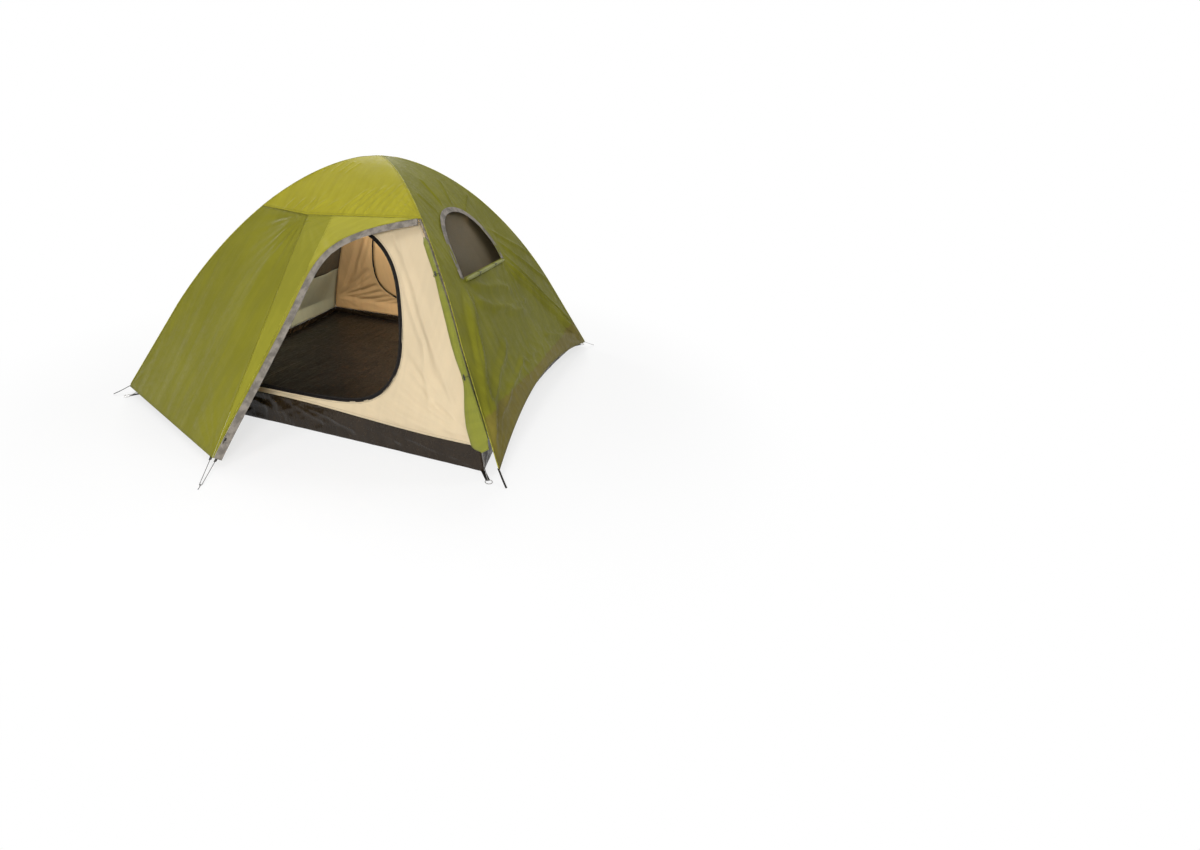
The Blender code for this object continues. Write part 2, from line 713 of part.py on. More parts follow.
def door_rows(lift):
    rows = []
    for t in ZIP_TAUS:
        zip_side = on_face(zip_edge(t, ZIP_BAND + GAP), (t, zip_u(t)))
        seam_tau = max(DOOR_TOP_TAU + (1 - DOOR_TOP_TAU) * t, DOOR_TOP_TAU)
        row = []
        for j in range(7):
            part = j / 6
            tau = zip_side[0] + (seam_tau - zip_side[0]) * part
            u = zip_side[1] + (SEAM_U - zip_side[1]) * part
            row.append(vestibule(tau, u, 1) + face_normal(tau, u, 1) * lift)
        rows.append(row)
    return rows


VENT_CORNERS = ((0.1429, -0.2963, 0.7324), (0.0929, -0.6421, 0.1028), (0.3867, -0.5232, 0.1181))
VENT = [Vector((x * WIDTH, y * DEPTH, z * HEIGHT)) for x, y, z in VENT_CORNERS]
vent_side = (VENT[2] - VENT[1]).normalized()
vent_out = vent_side.cross(VENT[0] - VENT[1]).normalized()
vent_up = vent_out.cross(vent_side)
VENT_FRAME = Matrix.Translation(VENT[1]) @ Matrix((vent_side, vent_up, vent_out)).transposed().to_4x4()
vent_flat = [((p - VENT[1]).dot(vent_side), (p - VENT[1]).dot(vent_up)) for p in VENT]
VENT_GAP = 0.0005


def vent_cutter(name, smaller):
    """A prism through the door at the vent, each side moved in by smaller."""
    middle = [sum(p[k] for p in vent_flat) / 3 for k in (0, 1)]
    across = min(
        abs((b[0] - a[0]) * (a[1] - middle[1]) - (a[0] - middle[0]) * (b[1] - a[1])) / math.dist(a, b)
        for a, b in zip(vent_flat, vent_flat[1:] + vent_flat[:1])
    )
    scale = 1 - smaller / across
    outline = [tuple(middle[k] + (p[k] - middle[k]) * scale for k in (0, 1)) for p in vent_flat]
    tool = as_mesh(flat_shape(name, [outline], 0.3, None, VENT_FRAME))
    tool.data.transform(Matrix.Rotation(math.pi, 4, "Z") @ tool.matrix_world)
    tool.matrix_world = Matrix.Identity(4)
    return cutter(tool)


rear_fly_door = grid("fly_rear_door", door_rows(DOOR_LIFT + CLOTH), FLY_GREEN, outward=-1)
turned_for_good(rear_fly_door, HINGE_FOOT)
vent = rear_fly_door.copy()
vent.data = rear_fly_door.data.copy()
vent.name = "fly_rear_door_vent"
vent.data.materials[0] = GREY_GREEN
TENT.objects.link(vent)
cut(vent, vent_cutter("vent_filler", VENT_GAP)).modifiers["Cut"].operation = "INTERSECT"
cut(rear_fly_door, vent_cutter("vent_cutter", 0.0))

# The front door, rolled up along its pole seam and held by two toggles.
ROLL_R, ROLL_SIDE, ROLL_OUT = 0.019, 0.0215, 0.0215
ROLL_TOP_Z, ROLL_FOOT_Z = 0.7285 * HEIGHT, 0.0997 * HEIGHT


PINCH = 0.9  # of the roll's radius, under a loop
LOOP_R = 0.0012  # elastic
LOOP_REACH = ROLL_R * PINCH + LOOP_R + GAP * 3
ROLL_CLEAR = SLEEVE_R * 0.92 + SLEEVE_WALL + LOOP_REACH + LOOP_R + GAP  # from the pole's axis to the roll's
POLE_LINE = [corner_point(*arch(i, HEIGHT), 1, -1) for i in range(ROWS + 1)]


def clear_of_pole(point):
    """The point, moved straight away from the pole where it is nearer than the roll may be."""
    nearest = None
    for a, b in zip(POLE_LINE, POLE_LINE[1:]):
        share = min(max((point - a).dot(b - a) / (b - a).length_squared, 0.0), 1.0)
        foot = a.lerp(b, share)
        if nearest is None or (point - foot).length < (point - nearest).length:
            nearest = foot
    away = point - nearest
    return nearest + away.normalized() * max(away.length, ROLL_CLEAR)


def roll_point(z):
    at = row_at_height(FLY, z)
    run = (fly_at(min(at + 0.5, ROWS), 1, -1) - fly_at(at - 0.5, 1, -1)).normalized()
    out = Vector((1.0, 0.0, 0.0)).cross(run).normalized() * -1
    if out.y > 0:
        out = -out
    return clear_of_pole(fly_at(at, 1, -1) - Vector((ROLL_SIDE, 0, 0)) + out * ROLL_OUT), run


TOGGLE_HEIGHTS = (0.6135 * HEIGHT, 0.3067 * HEIGHT)


def door_roll():
    marks = [(ROLL_TOP_Z, 0.55), (ROLL_TOP_Z - 0.015, 0.9)]
    steps = 15
    for i in range(1, steps):
        z = ROLL_TOP_Z - (ROLL_TOP_Z - ROLL_FOOT_Z) * i / steps
        held = min(abs(z - t) for t in TOGGLE_HEIGHTS)
        marks.append((z, PINCH + (1.05 - PINCH) * min(held / 0.12, 1.0) + 0.03 * math.sin(5 * i)))
    marks += [(t, PINCH) for t in TOGGLE_HEIGHTS]
    marks += [(ROLL_FOOT_Z + 0.01, 0.8), (ROLL_FOOT_Z, 0.4)]
    marks.sort(reverse=True)
    return wire(
        "fly_front_door_rolled",
        [roll_point(z)[0] for z, _ in marks],
        ROLL_R,
        ROLL_GREEN,
        resolution=3,
        radii=[r for _, r in marks],
    )


door_roll()


def toggle(name, z):
    """An elastic loop round the roll with its barrel."""
    at, run = roll_point(z)
    side = Vector((1.0, 0.0, 0.0))
    side = (side - run * side.dot(run)).normalized()
    out = run.cross(side)
    turns = [math.tau * i / 16 for i in range(16)]
    ring = [at + (side * math.cos(a) + out * math.sin(a)) * LOOP_REACH for a in turns]
    loop = as_mesh(wire(name, ring, LOOP_R, BLACK, resolution=1, cyclic=True))
    middle = at + out * (LOOP_REACH + 0.0030)
    barrel = as_mesh(wire(name + "_barrel", [middle - run * 0.014, middle + run * 0.014], 0.0035, None))
    union(loop, barrel)


for number, z in enumerate(TOGGLE_HEIGHTS, 1):
    toggle(f"door_roll_toggle_{number}", z)

# ---- what holds the tent to the ground
STRAP_W, STRAP_T = 0.020, 0.0020
RING_R, RING_WIRE = 0.0165, 0.0016
PIN_R = 0.0020
RING_AT = Vector((WIDTH / 2 + 0.048, -DEPTH / 2 - 0.070))  # centre of the front right ring, seen from above
RING_Z = STRAP_T + 0.0004 + RING_WIRE + 0.0004


def mirrored(point, sx, sy):
    """A point given at the front right corner, at another corner."""
    return Vector((point[0] * sx, -point[1] * sy, point[2]))


# The fly's corner, and what it is tied down to. The strap starts just clear of the cloths that meet there.
FLY_TIP = Vector((FLY_CORNER.x, -FLY_CORNER.y, FLY_CORNER.z))
STAKE = Vector((WIDTH / 2 + 0.136, -DEPTH / 2 - 0.086, 0.0042))
STRAP_RUN = (STAKE - FLY_TIP).normalized()
SIDE_TIP = FLY_TIP + Vector((0.0, CORNER_STEP, 0.0001))
PANEL_TIP = mirrored(vestibule(1, 0.9995, -1), -1, -1)
DOOR_TIP = vestibule(1, SEAM_U, 1) + face_normal(1, SEAM_U, 1) * (DOOR_LIFT + CLOTH)


def webbing(place, sx, sy):
    """The flat strap from the groundsheet's corner to the ring."""
    tub_corner, end = Vector((TUB_X / 2, -TUB_Y / 2, 0.0)), Vector((*RING_AT, 0.0))
    along = (end - tub_corner).normalized()
    across = Vector((along.y, -along.x, 0.0))
    start, end = tub_corner + along * 0.0006, end - along * (RING_R - 0.006)
    middle = (start + end) / 2 + Vector((0.0, 0.0, 0.0002 + STRAP_T / 2))
    half = [along * (end - start).length / 2, across * STRAP_W / 2, Vector((0.0, 0.0, STRAP_T / 2))]
    made = bmesh.new()
    signs = (-1, 1)
    for a, b, c in [(a, b, c) for a in signs for b in signs for c in signs]:
        made.verts.new(mirrored(middle + half[0] * a + half[1] * b + half[2] * c, sx, sy))
    bmesh.ops.convex_hull(made, input=made.verts)
    bmesh.ops.recalc_face_normals(made, faces=made.faces)
    mesh = bpy.data.meshes.new(f"corner_webbing_{place}")
    made.to_mesh(mesh)
    made.free()
    put(f"corner_webbing_{place}", mesh, BLACK)


def ring_pin(place, sx, sy):
    """A ring on the webbing, with the pin that the pole's end stands on."""
    centre = Vector((*RING_AT, RING_Z))
    pole_end = corner_point(1.0, FOOT_Z, 1, -1) - Vector((0, 0, GAP))
    inward = Vector((pole_end.x - centre.x, pole_end.y - centre.y, 0.0)).normalized()
    across = Vector((-inward.y, inward.x, 0.0))
    turns = [math.tau * i / 16 for i in range(16)]
    circle = [mirrored(centre + (inward * math.cos(a) + across * math.sin(a)) * RING_R, sx, sy) for a in turns]
    ring = as_mesh(wire(f"ring_pin_{place}", circle, RING_WIRE, STEEL, resolution=1, cyclic=True))
    toe = pole_end - Vector((0, 0, 0.0022))
    line = [mirrored(p, sx, sy) for p in (centre + inward * RING_R, toe + inward * 0.002, toe)]
    union(ring, as_mesh(wire(f"pin_{place}", line, PIN_R, None)))


def fly_strap(place, sx, sy, tips):
    start = FLY_TIP + STRAP_RUN * (GAP + max((tip - FLY_TIP).dot(STRAP_RUN) for tip in tips))
    line = [
        start,
        FLY_TIP.lerp(STAKE, 0.5),
        STAKE,
        STAKE + Vector((-0.012, -0.004, 0.0)),
        STAKE.lerp(FLY_TIP, 0.55) + Vector((-0.012, -0.012, -0.006)),
    ]
    wire(f"fly_strap_{place}", [mirrored(p, sx, sy) for p in line], 0.0025, BLACK, resolution=1)


CORNERS = (
    ("front_right", 1, -1, [SIDE_TIP]),
    ("front_left", -1, -1, [SIDE_TIP, PANEL_TIP]),
    ("rear_right", 1, 1, [SIDE_TIP, PANEL_TIP]),
    ("rear_left", -1, 1, [SIDE_TIP, DOOR_TIP]),
)
for place, sx, sy, tips in CORNERS:
    webbing(place, sx, sy)
    ring_pin(place, sx, sy)
    fly_strap(place, sx, sy, tips)

# Vestibule corners: a cord loop from the two cloths to a hook on the ground.
CORD_R = 0.0014
HOOK_R = 0.0016
PEG_AT = Vector((RIDGE_FOOT.x + 0.074, RIDGE_FOOT.y - 0.147, 0.0))
LOOP_Z = 0.0034


def vestibule_cord():
    """From the hem left of the ridge, round the hook, to the lower end of the zip band."""
    drop = CORD_R + GAP
    bottom = PEG_AT + Vector((0, 0, LOOP_Z))
    left = vestibule(1, 0.010, -1) - Vector((0, 0, drop))
    right = zip_edge(1, 0.014) + (zip_edge(1, 0.014) - zip_edge(0.98, 0.014)).normalized() * drop
    pull = (bottom - RIDGE_FOOT).normalized()
    side = Vector((-pull.y, pull.x, 0)).normalized()
    bend = [(-0.0055, -0.0050), (-0.0026, 0.0), (0.0026, 0.0), (0.0055, -0.0050)]
    bend = [bottom + side * a + pull * b for a, b in bend]
    return wire("vestibule_front_cord", [left] + bend + [right], CORD_R, CORD)


turned("vestibule_rear_cord", vestibule_cord())


def hook():
    """A wire hook over the cord's loop. Its shank lies on the ground beyond it."""
    run = Vector((PEG_AT.x - RIDGE_FOOT.x, PEG_AT.y - RIDGE_FOOT.y, 0)).normalized()
    floor = HOOK_R + 0.0002 - LOOP_Z
    bend = [(-0.0037, -0.0008), (-0.0037, 0.0), (-0.0026, 0.0026), (0.0, 0.0037), (0.0026, 0.0026)]
    bend += [(0.0060, floor), (0.0300, floor)]
    made = wire("vestibule_front_hook", [run * a + Vector((0, 0, b)) for a, b in bend], HOOK_R, STEEL)
    made.location = PEG_AT + Vector((0, 0, LOOP_Z))
    return made


front_hook = hook()
bpy.context.view_layer.update()
turned("vestibule_rear_hook", front_hook)

# ---- zip sliders, each with its pull
SLIDER_W, SLIDER_L, SLIDER_T = 0.009, 0.013, 0.0035


def slider(name, at, run, out, turn):
    """A slider on a tape: at is on the tape's face, run along the tape, out away from it."""
    frame = Matrix((run.cross(out) * -1, run, out)).transposed().to_4x4()
    bpy.ops.mesh.primitive_cube_add(size=1.0)
    body = bpy.context.object
    body.name = name
    size = Matrix.Diagonal((SLIDER_W, SLIDER_L, SLIDER_T, 1))
    centre = Matrix.Rotation(math.pi, 4, "Z") if turn else Matrix.Identity(4)
    place = centre @ Matrix.Translation(at + out * (SLIDER_T / 2 + GAP)) @ frame
    body.data.transform(size)
    body.matrix_world = place
    body.data.materials.append(BLACK)
    bevel = body.modifiers.new("Edges", "BEVEL")
    bevel.width = 0.0008
    bevel.segments = 1
    tab_points = [(0.0, 0.002, 0.0012), (0.0, 0.0045, 0.0030), (0.0, -0.008, 0.0036), (0.0, -0.024, 0.0030)]
    tab = as_mesh(wire(name + "_tab", tab_points, 0.0016, None, resolution=1))
    tab.matrix_world = place
    union(body, tab)
    for held in list(body.users_collection):
        held.objects.unlink(body)
    TENT.objects.link(body)
    return body


def zip_place(tau):
    run = (zip_edge(tau - 0.02, 0.012) - zip_edge(tau + 0.02, 0.012)).normalized()
    out = face_normal(tau, zip_u(tau), 1)
    out = (out - run * out.dot(run)).normalized()
    return zip_edge(tau, 0.012), run, out


slider("fly_front_zip_slider", *zip_place(0.93), False)
slider("fly_rear_zip_slider", *zip_place(0.93), True)
tape_mid = [((a[0] + b[0]) / 2, (a[1] + b[1]) / 2) for a, b in zip(tape_outer, tape_inner)]
bottom_run = WALL_FRAME.to_3x3() @ Vector((1.0, 0.0, 0.0))
slider_at = WALL_FRAME @ Vector((DOOR_HINGE_X + 0.05, tape_mid[-1][1] + 0.0003, CLOTH / 2))
slider("inner_front_zip_slider", slider_at, bottom_run, WALL_OUT, False)
slider("inner_rear_zip_slider", slider_at, bottom_run, WALL_OUT, True)
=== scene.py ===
"""Looks of the dome tent: cloth, net, zips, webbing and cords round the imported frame, with the camera of the photo."""

import json
import math
import re

import bmesh
import bpy
import numpy as np
from mathutils import Matrix, Vector, noise

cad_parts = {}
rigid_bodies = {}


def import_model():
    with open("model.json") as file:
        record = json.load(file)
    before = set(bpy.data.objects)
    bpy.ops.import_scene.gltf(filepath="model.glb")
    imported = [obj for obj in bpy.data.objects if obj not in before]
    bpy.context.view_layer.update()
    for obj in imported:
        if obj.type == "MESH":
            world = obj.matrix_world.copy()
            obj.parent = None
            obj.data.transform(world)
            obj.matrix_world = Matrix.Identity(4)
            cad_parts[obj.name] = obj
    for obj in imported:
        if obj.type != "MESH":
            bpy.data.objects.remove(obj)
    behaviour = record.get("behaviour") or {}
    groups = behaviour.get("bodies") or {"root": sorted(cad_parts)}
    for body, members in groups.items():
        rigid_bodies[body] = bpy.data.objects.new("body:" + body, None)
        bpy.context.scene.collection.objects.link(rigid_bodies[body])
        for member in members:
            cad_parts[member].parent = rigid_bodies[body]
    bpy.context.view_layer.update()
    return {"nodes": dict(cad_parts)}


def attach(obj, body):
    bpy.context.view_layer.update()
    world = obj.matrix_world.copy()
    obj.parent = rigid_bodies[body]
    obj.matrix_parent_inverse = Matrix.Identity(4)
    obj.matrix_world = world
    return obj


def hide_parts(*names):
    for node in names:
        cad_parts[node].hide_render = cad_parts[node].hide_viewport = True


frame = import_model()

# ---- the sizes that the solids are made from
WIDTH, DEPTH, HEIGHT = 2.10, 1.90, 1.304
ARCH_P, ARCH_Q = 1.75, 1.2
FOOT_Z, ROWS = 0.030, 16
SLEEVE_R, SLEEVE_WALL = 0.0068, 0.0008
SLEEVE_END = 0.90
CROSS_DROP = 0.018
CLOTH, GAP = 0.0012, 0.0004
CORNER_STEP = CLOTH + 0.0006
TUB_X, TUB_Y, TUB_H = WIDTH - 0.01, DEPTH - 0.01, 0.150
INSET = SLEEVE_R + SLEEVE_WALL + GAP
FLAT_TOP, FLAT_PART, MESH_FROM = 0.767 * HEIGHT, 0.62, 0.42
FLY_OFF = 0.018
FLY_SEAT = SLEEVE_R * 0.92 + SLEEVE_WALL + GAP + CLOTH
FLY_RISES, FLY_LEAVES = 5, 10
FLY_CORNER = Vector((WIDTH / 2 + 0.080, DEPTH / 2 + 0.022, 0.040))
SIDE_SAG, HEM_RISE = 0.012, 0.102
SEAM_Z = 0.7975 * HEIGHT
RIDGE_TOP = Vector((-0.081 * WIDTH, -0.2526 * DEPTH, 0.7807 * HEIGHT))
RIDGE_FOOT = Vector((-0.0505 * WIDTH, -0.7332 * DEPTH, 0.040))
ZIP_BAND, DOOR_LIFT = 0.040, 0.0008
THIN = 0.0006  # cloth as shown
HALF_TURN = Matrix.Rotation(math.pi, 4, "Z")
ACROSS, ALONG, UP = (Vector(axis) for axis in ((1.0, 0.0, 0.0), (0.0, 1.0, 0.0), (0.0, 0.0, 1.0)))
BASE = "pitched_tent"
ENDS = ((False, "front"), (True, "rear"))  # the rear half is the front half turned half a turn
SIDES = ((False, "right"), (True, "left"))

# ---- camera, from the photo's perspective
AZIMUTH, ELEVATION, ROLL = math.radians(20.4045), math.radians(22.1991), math.radians(1.78652)
DISTANCE, FOCAL_PX = 4.187178, 566.458
AIM = Vector((0.442824, 0.579630, -0.171486))
PHOTO_W, PHOTO_H = 1200, 850
CENTRE_PX, CENTRE_PY = 479.5, 371.5


def new_object(name, data):
    made = bpy.data.objects.new(name, data)
    bpy.context.scene.collection.objects.link(made)
    return made


def make_camera():
    level = math.cos(ELEVATION)
    back = Vector((math.sin(AZIMUTH) * level, -math.cos(AZIMUTH) * level, math.sin(ELEVATION)))
    right = (-back).cross(UP).normalized()
    up = right.cross(-back)
    right_rolled = right * math.cos(ROLL) + up * math.sin(ROLL)
    up_rolled = up * math.cos(ROLL) - right * math.sin(ROLL)
    data = bpy.data.cameras.new("camera")
    data.sensor_width = 36.0
    data.lens = data.sensor_width * FOCAL_PX / PHOTO_W
    data.shift_x = (PHOTO_W / 2 - CENTRE_PX) / PHOTO_W
    data.shift_y = (CENTRE_PY - PHOTO_H / 2) / PHOTO_W
    data.clip_end = 200.0
    made = new_object("camera", data)
    turn = Matrix((right_rolled, up_rolled, back)).transposed().to_4x4()
    made.matrix_world = Matrix.Translation(AIM + back * DISTANCE) @ turn
    bpy.context.scene.camera = made


make_camera()


# ---- materials
class Nodes:
    """Adds nodes to a material, each wired from the ones before it."""

    def __init__(self, name):
        self.material = bpy.data.materials.new(name)
        self.material.use_nodes = True
        self.tree = self.material.node_tree
        self.shader = self.tree.nodes["Principled BSDF"]

    def add(self, kind, inputs=None, **settings):
        node = self.tree.nodes.new("ShaderNode" + kind)
        for key, value in settings.items():
            setattr(node, key, value)
        for key, value in (inputs or {}).items():
            self.set(node, key, value)
        return node

    def set(self, node, key, value):
        socket = node.inputs[key]
        if isinstance(value, bpy.types.NodeSocket):
            self.tree.links.new(value, socket)
        elif isinstance(value, bpy.types.Node):
            self.tree.links.new(value.outputs[0], socket)
        else:
            socket.default_value = value

    def maths(self, operation, a, b=0.0, c=0.0):
        return self.add("Math", {0: a, 1: b, 2: c}, operation=operation).outputs[0]

    def span(self, value, low, high, to_low=0.0, to_high=1.0):
        made = self.add("MapRange", {0: value, 1: low, 2: high, 3: to_low, 4: to_high}, interpolation_type="SMOOTHSTEP")
        return made.outputs[0]

    def mix(self, share, a, b):
        made = self.add("Mix", data_type="RGBA")
        self.set(made, 0, share)
        self.set(made, 6, a)
        self.set(made, 7, b)
        return made.outputs[2]

    def noise(self, where, scale, detail=3.0, rough=0.5, twist=0.0):
        made = self.add(
            "TexNoise", {"Vector": where, "Scale": scale, "Detail": detail, "Roughness": rough, "Distortion": twist}
        )
        return made.outputs[0]

    def stretched(self, where, x, y, z=1.0):
        return self.add("Mapping", {"Vector": where, "Scale": (x, y, z)}).outputs[0]

    def bump(self, height, distance, strength=1.0, before=None):
        inputs = {"Height": height, "Distance": distance, "Strength": strength}
        made = self.add("Bump", inputs)
        if before is not None:
            self.set(made, "Normal", before)
        return made.outputs[0]

    def attribute(self, name):
        return self.add("Attribute", attribute_name=name).outputs["Fac"]

    def ribs(self, where, spacing, axis):
        """A wave that repeats every spacing metres."""
        made = self.add("TexWave", {"Vector": where, "Scale": WAVES / spacing}, bands_direction=axis)
        return made.outputs["Fac"]

    def uneven(self, share, colour, vary):
        return self.mix(share, tone(colour, 1 - vary), tone(colour, 1 + vary))

    def surface(self, colour, normal, rough, **constants):
        values = {"Base Color": colour, "Normal": normal, "Roughness": rough, **constants}
        for key, value in values.items():
            self.set(self.shader, key, value)
        return self.material

    def under(self, share, other):
        """Shows another shader by that share."""
        both = self.add("MixShader", {0: share, 1: self.shader, 2: other})
        self.tree.links.new(both.outputs[0], self.tree.nodes["Material Output"].inputs["Surface"])

    def cloth_place(self):
        return self.add("UVMap", uv_map="cloth").outputs[0]

    def place(self):
        return self.add("TexCoord").outputs["Object"]


WAVES = 0.32  # a wave texture of this scale repeats once a metre
THREAD = 0.0007
STITCH = 0.0018
STITCH_ROWS, FOLD_AT = (0.004, 0.010), 0.012  # from the cloth's edge
NET_HOLE = WAVES / 260


def tone(colour, share):
    return (colour[0] * share, colour[1] * share, colour[2] * share, 1.0)


def cloth(
    name, colour, rough=0.45, crinkle=0.5, streak=0.5, stitches=True, vary=0.10, specular=0.5, second=None, thin=0.0,
    ior=1.5,
):
    """Woven cloth: threads, fine crinkles, long streaks, uneven colour, a double row of stitches at its edges and
    painted shade along the seam's fold beside them.
    """
    n = Nodes(name)
    uv, at = n.cloth_place(), n.place()
    patch = n.noise(at, 3.2, 4.0, 0.55)
    streaks = n.noise(n.stretched(uv, 26.0, 3.0), 1.0, 4.0, 0.6, 0.4)
    share = n.span(n.maths("MULTIPLY_ADD", streaks, 0.45, n.maths("MULTIPLY", patch, 0.55)), 0.36, 0.64)
    base = n.uneven(share, colour, vary)
    # A second colour by the 'tone' attribute: the own colour of the hem strip on the side panels, and painted light on
    # the ridge panel's part right of its seam.
    if second is not None:
        base = n.mix(n.attribute("tone"), base, n.uneven(share, second, vary))
    threads = n.maths("MULTIPLY", n.ribs(uv, THREAD, "X"), n.ribs(uv, THREAD, "Y"))
    creases = n.noise(at, 38.0, 3.0, 0.55, 1.2)
    wide = n.noise(n.stretched(uv, 9.0, 2.2), 1.0, 3.0, 0.5, 0.8)
    normal = n.bump(wide, 0.02 * streak, 0.35)
    normal = n.bump(streaks, 0.006 * streak, 0.5, normal)
    normal = n.bump(creases, 0.003 * crinkle, 0.5, normal)
    normal = n.bump(threads, 0.0001, 0.15, normal)
    if stitches:
        rim = n.attribute("rim")
        off = [n.maths("ABSOLUTE", n.maths("SUBTRACT", rim, k)) for k in (*STITCH_ROWS, FOLD_AT)]
        dash = n.span(n.maths("PINGPONG", n.attribute("along"), STITCH), 0.0003, 0.0006)
        both = n.maths("MAXIMUM", *(n.span(x, 0.0004, 0.0009, 1.0, 0.0) for x in off[:2]))
        # Painted shade: the cloth is darkened along the seam's fold, FOLD_AT in from its edge.
        fold = n.span(off[2], 0.0003, 0.0016, 1.0, 0.0)
        base = n.mix(n.maths("MULTIPLY", n.maths("MULTIPLY", both, dash), 0.55), base, tone(colour, 0.45))
        base = n.mix(n.maths("MULTIPLY", fold, 0.35), base, tone(colour, 0.55))
        normal = n.bump(n.maths("MULTIPLY", both, -1.0), 0.0008, 0.6, normal)
        normal = n.bump(n.span(rim, 0.0118, 0.0132, 1.0, 0.0), 0.0009, 0.7, normal)
    if thin:  # light comes through this cloth
        n.under(thin, n.add("BsdfTranslucent", {"Color": base, "Normal": normal}))
    shine = n.span(creases, 0.35, 0.65, rough - 0.07, rough + 0.09)
    return n.surface(base, normal, shine, **{"Specular IOR Level": specular, "IOR": ior})


def net(name, colour, clear):
    """Fine net: threads with holes between them."""
    n = Nodes(name)
    uv = n.cloth_place()
    hole = n.maths("MULTIPLY", *(n.span(n.ribs(uv, NET_HOLE, axis), 0.2, 0.6) for axis in "XY"))
    patch = n.noise(n.place(), 5.0, 3.0)
    base = n.mix(patch, tone(colour, 0.8), tone(colour, 1.25))
    alpha = n.maths("SUBTRACT", 1.0, n.maths("MULTIPLY", hole, clear))
    return n.surface(base, n.bump(hole, 0.0004, 0.4), n.span(patch, 0.3, 0.7, 0.7, 0.85), Alpha=alpha)


def tape(name, colour, rough=0.75, teeth=False, across=0.0014, uneven=0.25, patches=60.0):
    """Woven tape or webbing: ribs across it, and a zip's coil along its middle."""
    n = Nodes(name)
    at = n.place()
    ribs = n.ribs(n.cloth_place(), across, "Y")
    crumple = n.noise(at, 90.0, 4.0, 0.6, 0.8)
    base = n.uneven(n.span(n.noise(at, patches, 3.0, 0.5), 0.35, 0.65), colour, uneven)
    normal = n.bump(ribs, 0.0003, 0.5, n.bump(crumple, 0.004, 0.55))
    if teeth:
        coil = n.span(n.attribute("middle"), 0.0018, 0.0030, 1.0, 0.0)
        base = n.mix(n.maths("MULTIPLY", coil, n.span(ribs, 0.2, 0.8, 0.5, 1.0)), base, tone(colour, 0.35))
        normal = n.bump(n.maths("MULTIPLY", coil, ribs), 0.0012, 0.9, normal)
    shine = n.span(crumple, 0.35, 0.65, rough - 0.08, rough + 0.08)
    return n.surface(base, normal, shine, **{"Specular IOR Level": 0.2})


def hard(name, colour, rough, metallic=0.0, marks=0.0006, streaky=False):
    """Moulded plastic, glass fibre or metal with slight wear."""
    n = Nodes(name)
    at = n.place()
    worn = n.noise(n.stretched(at, 40.0, 40.0, 6.0) if streaky else at, 1.0 if streaky else 30.0, 4.0, 0.6)
    base = n.uneven(n.span(worn, 0.35, 0.7), colour, 0.15)
    shine = n.span(worn, 0.3, 0.7, max(rough - 0.08, 0.05), rough + 0.1)
    return n.surface(base, n.bump(n.noise(at, 220.0, 3.0, 0.6), marks, 0.3), shine, Metallic=metallic)


# The fly is one green cloth; its panels differ in brightness by painted light and shade: the cap is painted lit, and
# the left and side panels are painted in shade. The side panels' second colour is the hem strip's own colour.
LEFT_GREEN_SHADED = cloth("fly_green_left", (0.200, 0.190, 0.016), 0.42, 0.15, 0.5, specular=0.12, vary=0.08)
SIDE_GREEN_SHADED = cloth(
    "fly_green_side", (0.170, 0.166, 0.016), 0.40, 0.12, 0.35, specular=0.25, second=(0.165, 0.135, 0.026), vary=0.14,
    ior=1.2,
)
CAP_GREEN_LIT = cloth("fly_green_cap", (0.335, 0.300, 0.026), 0.52, 0.12, 0.5, specular=0.08, vary=0.08)
# The ridge panel's second colour is painted light, for its part right of the seam that faces the light.
RIDGE_GREEN_PAINTED_LIGHT = cloth(
    "fly_green_ridge", (0.245, 0.232, 0.022), 0.42, 0.15, 0.5, specular=0.15, vary=0.08, second=(0.345, 0.318, 0.038)
)
ROLL_GREEN = cloth("fly_green_roll", (0.190, 0.196, 0.026), 0.38, 0.6, 0.8, stitches=False, specular=0.3)
DOOR_GREEN = cloth("fly_green_door", (0.29, 0.272, 0.032), 0.40, 0.4, 0.9, specular=0.25)
VENT_GREEN = cloth("vent_green", (0.115, 0.110, 0.026), 0.55, 0.4, 0.6, specular=0.25)
CREAM = cloth("cream_cloth", (0.76, 0.635, 0.43), 0.50, 0.25, 0.5, vary=0.03, specular=0.35, thin=0.25)
CREAM_ROLL = cloth("cream_roll", (0.66, 0.53, 0.33), 0.55, 0.6, 0.8, stitches=False, vary=0.06)
# Painted light: the rear wall's cream is CREAM painted darker and warmer, for the light that reaches it through the
# fly.
REAR_CREAM_PAINTED_LIGHT = cloth("cream_cloth_painted_warm_light", (0.74, 0.48, 0.215), 0.60, 0.3, 0.6, vary=0.05, specular=0.3, thin=0.3)
PALE_GREEN = cloth("pale_green_cloth", (0.54, 0.53, 0.36), 0.60, 0.3, 0.6, vary=0.05, specular=0.3, thin=0.3)
NET = net("dark_net", (0.085, 0.068, 0.036), 0.35)
TUB = cloth(
    "black_coated_cloth", (0.020, 0.013, 0.007), 0.20, 0.6, 1.0, stitches=False, vary=0.25, specular=0.6, ior=1.33
)
FLOOR = cloth("black_floor", (0.013, 0.010, 0.008), 0.36, 0.8, 1.2, stitches=False, vary=0.25, specular=0.5, ior=1.3)
ZIP_GREY = tape("zip_grey", (0.215, 0.192, 0.165), 0.70, uneven=0.28, patches=26.0)
BINDING_BLACK = tape("binding_black", (0.013, 0.011, 0.010), 0.6, teeth=True)
WEB_BLACK = tape("webbing_black", (0.014, 0.012, 0.010), 0.65)
SLEEVE_GREY = tape("sleeve_grey", (0.25, 0.21, 0.165), 0.7)
CORD = tape("cord_grey", (0.10, 0.095, 0.085), 0.75, across=0.0009)
